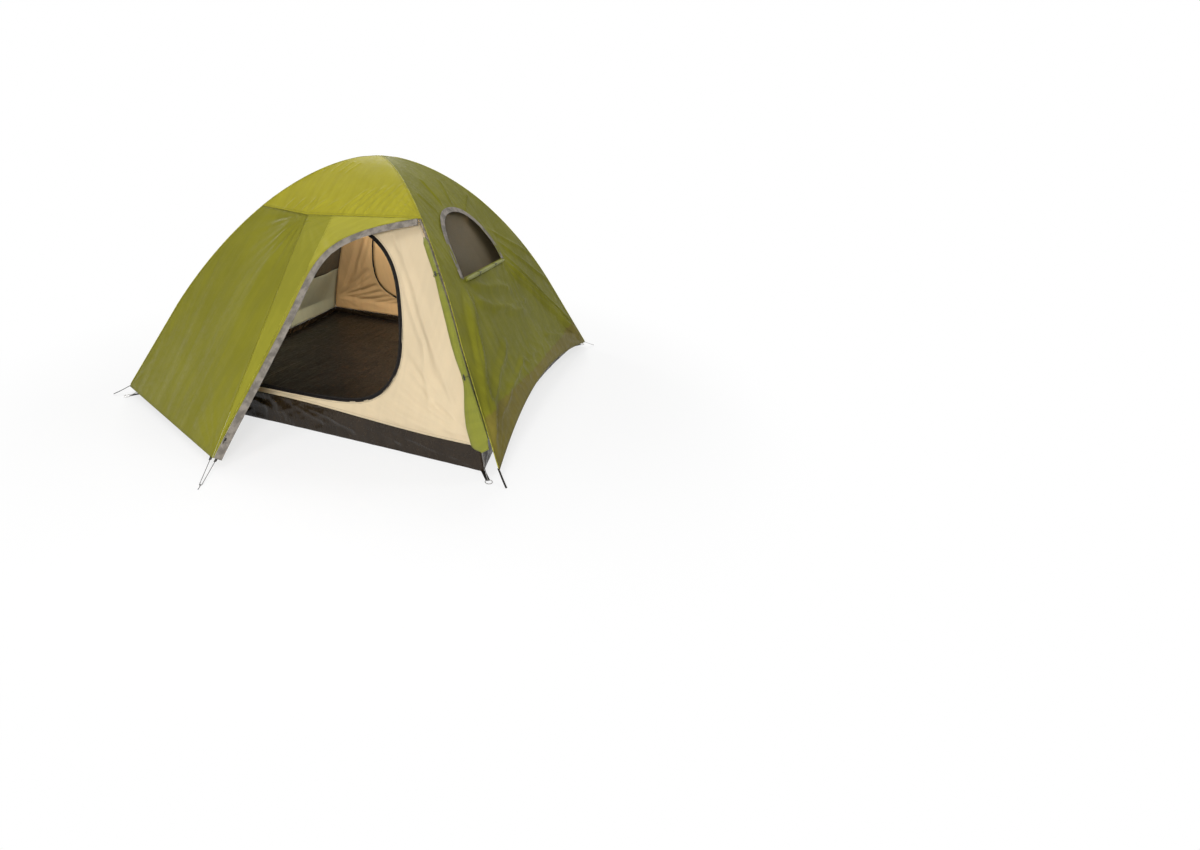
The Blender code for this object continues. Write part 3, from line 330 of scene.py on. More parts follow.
# Painted highlight: the seam tapes are a lighter copy of the fly green, for the light on the raised seams.
SEAM_GREEN_LIT = tape("seam_green", (0.33, 0.31, 0.040), 0.5, across=0.0012)
SEAM_DARK = tape("seam_dark_green", (0.17, 0.162, 0.020), 0.55, across=0.0012)
PLASTIC = hard("black_plastic", (0.014, 0.013, 0.012), 0.42)
POLE = hard("grey_glass_fibre", (0.15, 0.14, 0.13), 0.32, streaky=True)
STEEL = hard("bright_steel", (0.36, 0.35, 0.33), 0.28, 1.0, marks=0.0002, streaky=True)
DARK_STEEL = hard("dark_steel", (0.09, 0.085, 0.08), 0.35, 0.8, marks=0.0002, streaky=True)


# ---- shapes of the solids, made finer
def arch_at(k, height, off=0.0):
    half_span = math.hypot(WIDTH, DEPTH) / 2

    def at(k):
        side = 1 if k >= 0 else -1
        turn = math.pi / 2 * min(abs(k), 1.0)
        across = side * math.sin(turn) ** (2 / ARCH_P)
        return Vector((across, FOOT_Z + (height - FOOT_Z) * math.cos(turn) ** (2 / ARCH_Q)))

    here, before, after = at(k), at(k - 1e-3), at(min(k + 1e-3, 1.0))
    run = Vector(((after.x - before.x) * half_span, after.y - before.y)).normalized()
    return Vector((here.x - run.y * off / half_span, here.y + run.x * off))


def between(points, at):
    low = max(min(int(at), len(points) - 2), 0)
    return points[low].lerp(points[low + 1], at - low)


def row_at_height(points, z):
    for i in range(len(points) - 1):
        upper, lower = points[i][-1], points[i + 1][-1]
        if upper >= z >= lower:
            return i + (upper - z) / (upper - lower)
    raise ValueError(z)


INNER_ARCH = [arch_at(i / ROWS, HEIGHT - CROSS_DROP, -INSET) for i in range(ROWS + 1)]


def fly_line():
    line = []
    for i in range(FLY_LEAVES + 1):
        off = FLY_SEAT + (FLY_OFF - FLY_SEAT) * min(i / FLY_RISES, 1.0)
        reach, z = arch_at(i / ROWS, HEIGHT, off)
        line.append(Vector((reach * WIDTH / 2, reach * DEPTH / 2, z)))
    for i in range(FLY_LEAVES + 1, ROWS + 1):
        line.append(line[FLY_LEAVES].lerp(FLY_CORNER, (i - FLY_LEAVES) / (ROWS - FLY_LEAVES)))
    return line


FLY = fly_line()


def cubic(a, b, c, d, t):
    """Between b and c, on the smooth line through all four."""
    return 0.5 * (2 * b + (c - a) * t + (2 * a - 5 * b + 4 * c - d) * t**2 + (3 * b - 3 * c + d - a) * t**3)


def rounded(points, at):
    """A smooth line through points, at a fraction of a row."""
    low = max(min(int(at), len(points) - 2), 0)
    b, c = points[low], points[low + 1]
    a = points[low - 1] if low else 2 * b - c
    d = points[low + 2] if low + 2 < len(points) else 2 * c - b
    return cubic(a, b, c, d, at - low)


SEAM_ROW = row_at_height(FLY, SEAM_Z)
TUB_ROW = row_at_height(INNER_ARCH, TUB_H + GAP)
FLAT_ROW = row_at_height(INNER_ARCH, FLAT_TOP)


def fly_at(at, sx, sy):
    p = rounded(FLY, at) if 1 <= at < FLY_LEAVES else between(FLY, at)
    return Vector((sx * p.x, sy * p.y, p.z))


def vestibule(tau, u, side):
    ridge = RIDGE_TOP.lerp(RIDGE_FOOT, tau)
    return ridge.lerp(fly_at(SEAM_ROW + (ROWS - SEAM_ROW) * tau, side, -1), u)


def face_normal(tau, u, side):
    along = vestibule(min(tau + 0.01, 1), u, side) - vestibule(max(tau - 0.01, 0), u, side)
    across = (vestibule(tau, 1.0, side) - vestibule(tau, 0.0, side)) * side
    return across.cross(along).normalized() * -1


def zip_u(tau):
    up = 1 - tau
    return 0.006 + 0.194 * up**1.2 + 0.775 * up**14


def zip_edge(tau, out):
    low, high = max(tau - 0.01, 0), min(tau + 0.01, 1)
    run = vestibule(high, zip_u(high), 1) - vestibule(low, zip_u(low), 1)
    return vestibule(tau, zip_u(tau), 1) + run.cross(face_normal(tau, zip_u(tau), 1)).normalized() * -out


def on_face(point, start):
    tau, u = start
    for _ in range(12):
        here = vestibule(tau, u, 1)
        step = 1e-4 if tau < 0.999 else -1e-4
        d_tau = (vestibule(tau + step, u, 1) - here) / step
        d_u = (vestibule(tau, u + 1e-4, 1) - here) / 1e-4
        miss = point - here
        a, b, c = d_tau.dot(d_tau), d_tau.dot(d_u), d_u.dot(d_u)
        e, f = miss.dot(d_tau), miss.dot(d_u)
        tau = min(max(tau + (c * e - b * f) / (a * c - b * b), 0.0), 1.0)
        u += (a * f - b * e) / (a * c - b * b)
    return tau, u


def smooth(points, each):
    line = []
    ends = [points[0]] + points + [points[-1]]
    for four in zip(ends, ends[1:], ends[2:], ends[3:]):
        line += [tuple(cubic(*values, n / each) for values in zip(*four)) for n in range(each)]
    return line + [tuple(points[-1])]


def moved_out(line, by):
    made = []
    for i, p in enumerate(line):
        a, b = line[max(i - 1, 0)], line[min(i + 1, len(line) - 1)]
        run = Vector((b[0] - a[0], b[1] - a[1])).normalized()
        made.append((p[0] - run.y * by, p[1] + run.x * by))
    return made


def extent(line):
    return tuple(max(p[k] for p in line) - min(p[k] for p in line) for k in (0, 1))


def grid(count, wide, point):
    """Rows of points: point(s, v), where s runs from 0 to 1 down the rows and v from 0 to 1 along each."""
    return [[point(i / (count - 1), j / (wide - 1)) for j in range(wide)] for i in range(count)]


# ---- wrinkles
def ease(x):
    x = min(max(x, 0.0), 1.0)
    return x * x * (3 - 2 * x)


def wave(x, y, seed):
    return noise.noise(Vector((x, y, seed)))


def ridged(x, y, seed):
    """Soft ground with sharper crests, from 0 to 1."""
    return (1 - abs(noise.noise(Vector((x, y, seed))))) ** 3


def bell(x, centre, width):
    return math.exp(-(((x - centre) / width) ** 2))


def rays(point, corner, across, count, reach, seed, up=UP):
    """Tension folds that fan out of a corner."""
    d = point - corner
    far = d.length
    angle = math.atan2(d.dot(up), d.dot(across))
    fade = ease(far / 0.06) * math.exp(-far / reach)
    return fade * wave(angle * count, far * 1.6, seed) * 2.0


# ---- pieces
def settle(piece, body, nodes, slot, turn):
    if turn:
        piece.data.transform(HALF_TURN)
    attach(piece, body)
    if nodes:
        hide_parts(*nodes)
    return piece


def lengths(points):
    made = [0.0]
    for a, b in zip(points, points[1:]):
        made.append(made[-1] + (b - a).length)
    return made


def inside_line(line, x, y):
    """Which of the points are inside a closed outline."""
    result = np.zeros(len(x), bool)
    for (x0, y0), (x1, y1) in zip(line, line[1:] + line[:1]):
        crosses = (y0 > y) != (y1 > y)
        result ^= crosses & (x < x0 + (y - y0) * (x1 - x0) / ((y1 - y0) or 1e-12))
    return result


def nearest_on_line(line, x, y):
    best = None
    for (x0, y0), (x1, y1) in zip(line, line[1:] + line[:1]):
        long = (x1 - x0) ** 2 + (y1 - y0) ** 2 or 1e-12
        share = min(max(((x - x0) * (x1 - x0) + (y - y0) * (y1 - y0)) / long, 0.0), 1.0)
        at = (x0 + (x1 - x0) * share, y0 + (y1 - y0) * share)
        far = math.hypot(at[0] - x, at[1] - y)
        if best is None or far < best[0]:
            best = (far, at)
    return best


def cut_out(made, grid_edge, where, line, keep, rim_layer):
    """Takes out the faces inside an outline, or outside it, and draws the new edge onto the outline."""
    back = where.inverted()
    centres = np.array([(back @ face.calc_center_median())[:] for face in made.faces])
    hit = inside_line(line, centres[:, 0], centres[:, 1])
    gone = [face for face, is_in in zip(made.faces, hit) if is_in != keep]
    bmesh.ops.delete(made, geom=gone, context="FACES")
    for vertex in made.verts:
        if not vertex.is_boundary or vertex in grid_edge and not keep:
            continue
        local = back @ vertex.co
        far, at = nearest_on_line(line, local.x, local.y)
        if far < 0.02:
            vertex.co = where @ Vector((*at, local.z))
            vertex[rim_layer] = 0.0
    for vertex in made.verts:
        local = back @ vertex.co
        far, _ = nearest_on_line(line, local.x, local.y) if abs(local.z) < 0.2 else (9.0, None)
        vertex[rim_layer] = min(vertex[rim_layer], far)


def normals_of(rows, inside, cyclic):
    """Each point's direction away from inside."""
    count, wide = len(rows), len(rows[0])
    made = []
    for i in range(count):
        line = []
        for j in range(wide):
            a, b = rows[min(i + 1, count - 1)][j], rows[max(i - 1, 0)][j]
            c, d = rows[i][min(j + 1, wide - 1)], rows[i][max(j - 1, 0)]
            if cyclic and j in (0, wide - 1):
                c, d = rows[i][1], rows[i][wide - 2]
            n = (a - b).cross(c - d)
            n = n.normalized() if n.length > 1e-12 else (rows[i][j] - inside).normalized()
            line.append(-n if n.dot(rows[i][j] - inside) < 0 else n)
        made.append(line)
    return made


def sheet_mesh(name, rows, inside, fold, pin, cyclic, cut, tones, plain):
    """A grid of points made into cloth. fold gives how far a point stands out, and fades to nothing at the edges."""
    count, wide = len(rows), len(rows[0])
    across = [lengths(row) for row in rows]
    down = [lengths(column) for column in zip(*rows)]
    normals = normals_of(rows, inside, cyclic)
    made = bmesh.new()
    uv_layer = made.loops.layers.uv.new("cloth")
    rim_layer, along_layer, middle_layer, tone_layer = (
        made.verts.layers.float.new(layer) for layer in ("rim", "along", "middle", "tone")
    )
    place = {}
    net_of = []
    for i in range(count):
        line = []
        for j in range(wide):
            s, t = across[i][j], down[j][i]
            sides = (s, across[i][-1] - s) if not cyclic else (9.0, 9.0)
            ends = (t, down[j][-1] - t)
            rim = min(side for side, edge in zip((*sides, *ends), "lrtb") if edge not in plain)
            at = (i / (count - 1), j / (wide - 1), rows[i][j])
            p = rows[i][j].copy()
            if fold is not None:
                p += normals[i][j] * fold(*at) * (ease(min(*sides, *ends) / pin) if pin else 1.0)
            vertex = made.verts.new(p)
            vertex[rim_layer] = rim
            # tones: the share of the second colour, the hem strip's own colour on the sides and painted light on the
            # ridge panel.
            if tones is not None:
                vertex[tone_layer] = tones(*at)
            vertex[along_layer] = t if rim in sides else s
            vertex[middle_layer] = abs(s - across[i][-1] / 2)
            place[vertex] = (s - across[i][-1] / 2, t)
            line.append(vertex)
        net_of.append(line)
    for i in range(count - 1):
        for j in range(wide - 1):
            face = made.faces.new((net_of[i][j], net_of[i][j + 1], net_of[i + 1][j + 1], net_of[i + 1][j]))
            face.smooth = True
            for loop in face.loops:
                loop[uv_layer].uv = place[loop.vert]
    made.faces.ensure_lookup_table()
    made.normal_update()
    middle = len(made.faces) // 2
    if made.faces[middle].normal.dot(normals[middle // (wide - 1)][middle % (wide - 1)]) < 0:
        bmesh.ops.reverse_faces(made, faces=made.faces)
    if cyclic:
        bmesh.ops.remove_doubles(made, verts=made.verts, dist=1e-5)
    if cut is not None:
        edge = {*net_of[0], *net_of[-1], *(line[0] for line in net_of), *(line[-1] for line in net_of)}
        cut_out(made, edge, *cut, rim_layer)
    mesh = bpy.data.meshes.new(name)
    made.to_mesh(mesh)
    made.free()
    return mesh, (max(row[-1] for row in across), max(line[-1] for line in down))


def solid(piece, thickness):
    """Gives cloth its thickness on the inner side and bakes it."""
    shell = piece.modifiers.new("Thickness", "SOLIDIFY")
    shell.thickness = thickness
    shell.offset = -1
    shell.use_even_offset = False
    bpy.context.view_layer.update()
    graph = bpy.context.evaluated_depsgraph_get()
    mesh = bpy.data.meshes.new_from_object(piece.evaluated_get(graph), preserve_all_data_layers=True, depsgraph=graph)
    for polygon in mesh.polygons:
        polygon.use_smooth = True
    piece.modifiers.clear()
    piece.data = mesh


def panel(
    name, rows, material, body, nodes, slot, fold=None, pin=0.03, inside=Vector((0, 0, 0.35)), turn=False,
    thickness=THIN, cut=None, declare=True, cyclic=False, flat=None, tones=None, plain="",
):
    mesh, size = sheet_mesh(name, rows, inside, fold, pin, cyclic, cut, tones, plain)
    piece = new_object(name, mesh)
    mesh.materials.append(material)
    solid(piece, thickness)
    settle(piece, body, nodes, slot, turn)
    if declare:
        real = sum(p.area for p in piece.data.polygons) / 2
        wide, long = flat or size
        if real < 0.35 * wide * long:  # a tapered panel, which is cut from a narrower length of cloth
            wide = real / (0.5 * long)


def tube(
    name, points, radius, material, nodes=(), slot=None, turn=False, resolution=2, radii=None, cyclic=False, body=BASE
):
    curve = bpy.data.curves.new(name, "CURVE")
    curve.dimensions = "3D"
    curve.bevel_depth = radius
    curve.bevel_resolution = resolution
    curve.use_fill_caps = True
    spline = curve.splines.new("POLY")
    spline.points.add(len(points) - 1)
    for i, p in enumerate(points):
        spline.points[i].co = (*p, 1.0)
        spline.points[i].radius = radii[i] if radii else 1.0
    spline.use_cyclic_u = cyclic
    made = new_object(name, curve)
    bpy.context.view_layer.update()
    mesh = bpy.data.meshes.new_from_object(made.evaluated_get(bpy.context.evaluated_depsgraph_get()))
    bpy.data.objects.remove(made)
    bpy.data.curves.remove(curve)
    for polygon in mesh.polygons:
        polygon.use_smooth = len(polygon.vertices) == 4
    if "cloth" not in mesh.uv_layers:
        layer = mesh.uv_layers.new(name="cloth")
        for loop in mesh.loops:
            co = mesh.vertices[loop.vertex_index].co
            layer.data[loop.index].uv = (co.x + co.y, co.z + co.y)
    mesh.materials.append(material)
    return settle(new_object(name, mesh), body, nodes, slot, turn)


def ribbon(
    name, centres, sides, width, material, nodes=(), slot=None, turn=False, rise=0.0008, fold=None, thickness=0.0007,
    body=BASE,
):
    """A tape along centres. sides points across it at each centre; rise is how far its middle stands up."""
    rows = []
    for i, (p, side) in enumerate(zip(centres, sides)):
        a, b = centres[max(i - 1, 0)], centres[min(i + 1, len(centres) - 1)]
        out = (b - a).cross(side).normalized()
        rows.append([p + side * (v * width / 2) + out * (rise * (1 - v * v)) for v in (j / 3 - 1 for j in range(7))])
    inside = centres[0] - (centres[1] - centres[0]).cross(sides[0]).normalized() * 5
    panel(name, rows, material, body, nodes, slot, fold, 0.004, inside, turn, thickness, declare=False)


# ---- flysheet
def dip(x, line_x):
    edge = line_x if x > RIDGE_TOP.x else -line_x
    return max(0.0, 1 - (x - RIDGE_TOP.x) / (edge - RIDGE_TOP.x))


def cap_point(s, v):
    at = 0.02 + (SEAM_ROW - 0.02) * s**0.9
    p = fly_at(at, 1, 1)
    v = 2 * v - 1
    pull = dip(v * seam_corner.x, seam_corner.x) * (at / SEAM_ROW) ** 3
    return Vector(
        (v * p.x, -p.y - 0.0006 + pull * (RIDGE_TOP.y + seam_corner.y), p.z + pull * (RIDGE_TOP.z - SEAM_Z))
    )


def crease(x, y, a, b, height, width):
    """A tension fold along a line from a to b, with a sharp crest that fades at its ends."""
    run = (b[0] - a[0], b[1] - a[1])
    long = math.hypot(*run)
    along = ((x - a[0]) * run[0] + (y - a[1]) * run[1]) / long
    off = ((x - a[0]) * run[1] - (y - a[1]) * run[0]) / long + 0.12 * width * math.sin(along * 23)
    share = min(max(along / long, 0.0), 1.0)
    beyond = abs(along - share * long)
    if beyond > width or abs(off) > width:
        return 0.0
    fade = ease(share / 0.18) * ease((1 - share) / 0.18) * (1 - beyond / width)
    return height * fade * (1 - abs(off) / width) ** 1.4


def creases(x, y, lines, tall=1.0, broad=1.0):
    return sum(crease(x, y, *ends, tall * height, broad * width) for *ends, height, width in lines)


CAP_CREASES = [((0.00 + 0.05 * i, -0.475), (0.13 + 0.047 * i, -0.330 + 0.015 * i), 0.0042, 0.013) for i in range(8)]
CAP_CREASES += [((0.03 + 0.06 * i, -0.478), (0.07 + 0.060 * i, -0.420), 0.0034, 0.010) for i in range(6)]
CAP_CREASES += [((-0.22 + 0.05 * i, -0.10 - 0.01 * i), (-0.27 + 0.05 * i, -0.25), 0.0030, 0.014) for i in range(5)]
CAP_CREASES += [((-0.34 + 0.06 * i, -0.470), (-0.29 + 0.07 * i, -0.400), 0.0030, 0.012) for i in range(5)]


def cap_fold(a, b, p):
    rise = Vector((0, 0.8, 0.6))
    h = 0.0050 * wave(p.x * 3, p.y * 5, 1.3)
    right = Vector((seam_corner.x, -seam_corner.y, seam_corner.z))
    h += 0.0040 * rays(p, right, -ACROSS, 9, 0.20, 4.2, rise)
    h += 0.0030 * rays(p, RIDGE_TOP, ACROSS, 6, 0.16, 8.8, rise)
    return h + creases(p.x, p.y, CAP_CREASES, 1.4)


seam_corner = fly_at(SEAM_ROW, 1, 1)
for turn, where in ENDS:
    panel(
        f"fly_{where}_cap_cloth", grid(110, 210, cap_point), CAP_GREEN_LIT, BASE, [f"fly_{where}_cap"], "cap_green",
        cap_fold, turn=turn,
    )

SILL_Z, WINDOW_TOP_Z = 0.5805 * HEIGHT, 0.7945 * HEIGHT
WINDOW_SHARES = [
    (-0.2184, 0.5805), (-0.1974, 0.6480), (-0.1711, 0.7094), (-0.1342, 0.7554), (-0.0895, 0.7837), (-0.0421, 0.7945),
    (0.0053, 0.7922), (0.0447, 0.7761), (0.0763, 0.7400), (0.0958, 0.6902), (0.1042, 0.6365), (0.1000, 0.5805),
]
sill, top = between(FLY, row_at_height(FLY, SILL_Z)), between(FLY, row_at_height(FLY, WINDOW_TOP_Z))
PANE_UP = Vector((top.x - sill.x, 0.0, top.z - sill.z)).normalized()
PANE_OUT = ALONG.cross(PANE_UP)
PANE_TURN = Matrix(((0, 1, 0), PANE_UP, PANE_OUT)).transposed().to_4x4()
PANE_FRAME = Matrix.Translation((sill.x - SIDE_SAG, 0.0, sill.z)) @ PANE_TURN
pane_line = [(y * DEPTH, (z * HEIGHT - SILL_Z) / PANE_UP.z) for y, z in smooth(WINDOW_SHARES, 4)]


def side_point(at, v):
    p = fly_at(at, 1, 1)
    sag = SIDE_SAG * (1 - v * v) * min(at / 5, 1.0)
    return Vector((p.x - sag, v * (p.y - CORNER_STEP), p.z - sag * 0.5))


def side_grid_point(s, v):
    v = 2 * v - 1
    hem = row_at_height(FLY, FLY_CORNER.z + 0.0001 + HEM_RISE * (1 - v * v))
    return side_point(0.35 + (hem - 0.35) * s, v)


side_rows = grid(150, 170, side_grid_point)
HEM_SEAM = ((-0.97, 0.245), (-0.699, 0.234), (-0.131, 0.196), (0.515, 0.193), (0.97, 0.225))
SIDE_CREASES = [
    ((-0.440, 0.735), (-0.955, 0.075), 0.0125, 0.085),
    ((-0.375, 0.735), (-0.900, 0.120), 0.0045, 0.030),
    ((-0.500, 0.700), (-0.955, 0.120), 0.0045, 0.028),
    ((0.205, 0.745), (0.955, 0.050), 0.0120, 0.060),
    ((0.215, 0.800), (0.965, 0.110), 0.0060, 0.035),
    ((0.150, 0.735), (0.900, 0.085), 0.0055, 0.034),
    ((0.240, 0.860), (0.900, 0.420), 0.0050, 0.030),
    ((0.235, 0.920), (0.800, 0.640), 0.0040, 0.024),
    ((0.020, 1.060), (0.150, 1.200), 0.0030, 0.020),
    ((-0.090, 1.060), (-0.060, 1.210), 0.0030, 0.020),
    ((-0.200, 1.040), (-0.270, 1.150), 0.0030, 0.018),
    ((0.120, 1.020), (0.330, 1.110), 0.0030, 0.020),
    ((-0.380, 0.715), (0.120, 0.600), 0.0070, 0.060),
    ((-0.440, 0.650), (0.200, 0.440), 0.0070, 0.070),
    ((-0.300, 0.560), (0.300, 0.500), 0.0040, 0.040),
    ((-0.850, 0.220), (-0.250, 0.420), 0.0060, 0.060),
    ((-0.820, 0.170), (-0.100, 0.290), 0.0050, 0.040),
    ((0.850, 0.130), (0.250, 0.290), 0.0060, 0.045),
]


def hem_seam_z(y):
    for (y0, z0), (y1, z1) in zip(HEM_SEAM, HEM_SEAM[1:]):
        if y <= y1:
            return z0 + (z1 - z0) * max(y - y0, 0.0) / (y1 - y0)
    return HEM_SEAM[-1][1]


def side_tones(a, b, p):
    """1 in the strip along the hem."""
    return 1.0 if p.z < hem_seam_z(p.y) else 0.0


def side_fold(a, b, p):
    y, z = p.y, p.z
    h = 0.0
    for side, seed in ((-1, 3.1), (1, 7.7)):
        corner = Vector((FLY_CORNER.x, side * FLY_CORNER.y, FLY_CORNER.z))
        h += 0.0055 * rays(p, corner, -side * ALONG, 11, 0.42, seed)
    for corner_y, seed in ((pane_line[0][0], 1.9), (pane_line[-1][0], 5.2)):
        h += 0.0038 * rays(p, PANE_FRAME @ (corner_y * ACROSS), ALONG, 7, 0.16, seed)
    low = ease((0.62 - z) / 0.3)
    h += 0.0030 * low * (ridged(y * 5.5 + z * 4.0, z * 5.0 - y * 2.0, 3.4) - 0.45)
    h += 0.0016 * low * wave(y * 19, z * 17, 6.1)
    h += 0.0050 * (1 - low) * wave(y * 5, z * 7, 9.4)
    h += 0.0100 * bell(y, -0.15, 0.35) * bell(z, 0.24, 0.09) * (ridged(y * 11 + z * 6, z * 15, 8.2) - 0.5)
    strip = 0.0012 * ease((hem_seam_z(y) - z) / 0.006)
    return h + strip + creases(y, z, SIDE_CREASES, 2.5, 0.65)


smaller = moved_out(pane_line, -0.0008)
smaller[0], smaller[-1] = (smaller[0][0] + 0.0012, 0.0016), (smaller[-1][0] - 0.0012, 0.0016)
for turn, where in SIDES:
    panel(
        f"fly_{where}_side_cloth", side_rows, SIDE_GREEN_SHADED, BASE, [f"fly_{where}_side"], "fly_green", side_fold, 0.04,
        turn=turn, cut=(PANE_FRAME, pane_line, False), tones=side_tones,
    )
panel(
    "left_window_flap_cloth", side_rows, SIDE_GREEN_SHADED, "left_window_flap", ["window_flap_left"], "fly_green", side_fold,
    0.04, turn=True, cut=(PANE_FRAME, smaller, True), flat=extent(smaller),
)


def on_side(y, up, out):
    """A point out from the side panel, near the window."""
    here = PANE_FRAME @ Vector((y, up, 0.0))
    at = row_at_height(FLY, here.z)
    v = y / between(FLY, at).y
    return side_point(at, v) + PANE_OUT * out


def pucker(a, b, p):
    return 0.0030 * wave(a * 70, b * 2.5, 4.0) + 0.0016 * wave(a * 150, b * 4.0, 6.0)


for turn, where in SIDES:
    edges = [
        (on_side(y0, max(u0, 0.0), 0.0020), on_side(y1, max(u1, 0.0), 0.0020))
        for (y0, u0), (y1, u1) in zip(pane_line, moved_out(pane_line, 0.030))
    ]
    ribbon(
        f"{where}_window_zip_band", [(a + b) / 2 for a, b in edges], [(a - b).normalized() for a, b in edges], 0.034,
        ZIP_GREY, turn=turn, rise=0.0012, fold=pucker, slot="zip_grey",
    )


def rolled(name, path, radius, material, nodes, slot, seed, around=30, loose=None):
    """Rolled cloth along a path of (point, share of the radius): it folds along its length and shows its edge."""
    rows = []
    for i, (p, share) in enumerate(path):
        a, b = path[max(i - 1, 0)][0], path[min(i + 1, len(path) - 1)][0]
        run = (b - a).normalized()
        side = run.cross(UP)
        side = side.normalized() if side.length > 0.1 else run.cross(ACROSS).normalized()
        other = side.cross(run)
        if loose is not None:
            side, other = loose(i / (len(path) - 1), run)
        row = []
        for j in range(around):
            x, y = math.cos(math.tau * j / around), math.sin(math.tau * j / around)
            fold = 0.12 * wave(x * 1.6 + seed, y * 1.6 + i * 0.06, seed) + 0.10 * wave(x * 5, y * 5 + i * 0.03, seed + 3)
            edge = 0.05 * (1 - j / around)
            row.append(p + (side * x + other * y) * radius * share * (0.93 + fold + edge))
        rows.append(row)
    made = bmesh.new()
    uv_layer = made.loops.layers.uv.new("cloth")
    down = lengths([p for p, _ in path])
    rings = [[made.verts.new(p) for p in row] for row in rows]
    for i in range(len(rows) - 1):
        for j in range(around):
            k = (j + 1) % around
            face = made.faces.new((rings[i][j], rings[i][k], rings[i + 1][k], rings[i + 1][j]))
            face.smooth = True
            for loop, (jj, ii) in zip(face.loops, ((j, i), (j + 1, i), (j + 1, i + 1), (j, i + 1))):
                loop[uv_layer].uv = (down[ii], jj / around * math.tau * radius)
    for ring in (rings[0], rings[-1]):
        made.faces.new(ring)
    bmesh.ops.recalc_face_normals(made, faces=made.faces)
    mesh = bpy.data.meshes.new(name)
    made.to_mesh(mesh)
    made.free()
    mesh.materials.append(material)
    settle(new_object(name, mesh), BASE, nodes, slot, False)


# The rolled flap under the right window, with two loops.
FLAP_R = 0.010
flap_low, flap_high = -0.2158 * DEPTH, 0.1 * DEPTH
flap_path = []
for i in range(40):
    s = i / 39
    share = 0.45 + 0.6 * ease(min(s, 1 - s) / 0.06) - 0.1 * bell(s, 0.3, 0.03) - 0.1 * bell(s, 0.72, 0.03)
    y = flap_low + (flap_high - flap_low) * s
    flap_path.append((on_side(y, -FLAP_R - 0.004, FLAP_R + 0.0008), share))
rolled("right_window_flap_roll", flap_path, FLAP_R, ROLL_GREEN, ["window_flap_right_rolled"], "fly_green", 2.0)


def loop_and_barrel(name, centre, run, out, radius, barrel=0.0032, long=0.022):
    """An elastic loop round a roll, with its barrel."""
    side = run.cross(out).normalized()
    ring = [centre + (side * math.cos(a) + out * math.sin(a)) * radius for a in (math.tau * i / 28 for i in range(28))]
    tube(name + "_loop", ring, 0.0011, WEB_BLACK, slot="black_trim", cyclic=True)
    middle = centre + out * (radius + 0.0028)
    path = [middle + run * (long * (i / 8 - 0.5)) for i in range(9)]
    shape = [0.45, 0.85, 1.0, 0.92, 0.86, 0.92, 1.0, 0.85, 0.45]
    tube(name + "_barrel", path, barrel, PLASTIC, slot="black_trim", radii=shape, resolution=3)


for number, share in ((1, 0.3), (2, 0.72)):
    centre = on_side(flap_low + (flap_high - flap_low) * share, -FLAP_R - 0.004, FLAP_R + 0.0008)
    loop_and_barrel(f"window_tie_{number}", centre, ALONG, PANE_OUT, FLAP_R + 0.0012)


# ---- vestibule
RIDGE_SEAM_TOP = Vector((-0.006 * WIDTH, -0.2479 * DEPTH, 0.7845 * HEIGHT))


TOP_TAU = 0.0007


def tau_at(s, power):
    """Rows lie closer together at the top of the vestibule."""
    return TOP_TAU + (1 - TOP_TAU) * s**power


def left_point(s, v):
    return vestibule(0.0008 + (1 - 0.0008) * s, 0.9995 - 0.9990 * v, -1)


def left_fold(a, b, p):
    far = Vector((-FLY_CORNER.x, -FLY_CORNER.y, FLY_CORNER.z))
    h = 0.0040 * rays(p, far, ACROSS, 8, 0.35, 2.2)
    h += 0.0035 * rays(p, RIDGE_FOOT, -ACROSS, 8, 0.30, 6.3)
    h += 0.0080 * wave(p.x * 5.5 - p.z * 1.2, p.z * 1.4, 1.1) * ease(a / 0.2)
    h += 0.0030 * wave(p.x * 17 - p.z * 3.0, p.z * 2.0, 5.1) * ease(a / 0.3)
    h += 0.0030 * bell(a, 0.0, 0.05) * wave(p.x * 26, p.z * 4, 8.0)
    soft_fold = max(0.0, 1 - abs(b - 0.76) / (0.34 if b < 0.76 else 0.24)) ** 1.2
    h += 0.0150 * soft_fold * ease((0.85 - a) / 0.35) * ease(a / 0.06)
    h += 0.0090 * rays(p, RIDGE_TOP, -ACROSS, 9, 0.18, 4.9)
    return h


def ridge_point(s, v):
    tau = tau_at(s, 1.9)
    width = (vestibule(tau, 1, 1) - vestibule(tau, 0, 1)).length
    first, last = 0.0016 / width, zip_u(tau) - GAP / width
    return vestibule(tau, first + (last - first) * v, 1)


def ridge_fold(a, b, p):
    h = 0.0022 * wave(p.x * 9 + p.z * 9, p.z * 3 - p.x * 3, 5.5)
    h += 0.0040 * rays(p, RIDGE_TOP, ACROSS, 6, 0.2, 3.9)
    high = 0.35 + 0.65 * ease((p.z - 0.55) / 0.3)
    return h + 0.0075 * ease((b - 0.45) / 0.45) * high * wave((p.x * 0.8 + p.z * 0.6) * 26, (p.x - p.z) * 3, 7.4)


def ridge_painted_light(a, b, p):
    """Painted light: 1 right of the seam that runs from the cap down to the foot of the ridge, fading out towards the
    foot, where the panel is painted lighter.
    """
    share = (p.z - RIDGE_FOOT.z) / (RIDGE_SEAM_TOP.z - RIDGE_FOOT.z)
    seam_x = RIDGE_FOOT.x + (RIDGE_SEAM_TOP.x - RIDGE_FOOT.x) * share
    return ease((p.x - seam_x) / 0.004 + 0.5) * ease((p.z - 0.25) / 0.65)


def band_point(s, v):
    tau = tau_at(s, 1.9)
    return zip_edge(tau, GAP).lerp(zip_edge(tau, ZIP_BAND), v)


def band_fold(a, b, p):
    h = 0.0034 * wave(p.x * 42, p.z * 42, 1.0) + 0.0026 * wave(p.x * 95, p.z * 95, 2.0)
    return h + 0.0014 * bell(b, 0.32, 0.09)


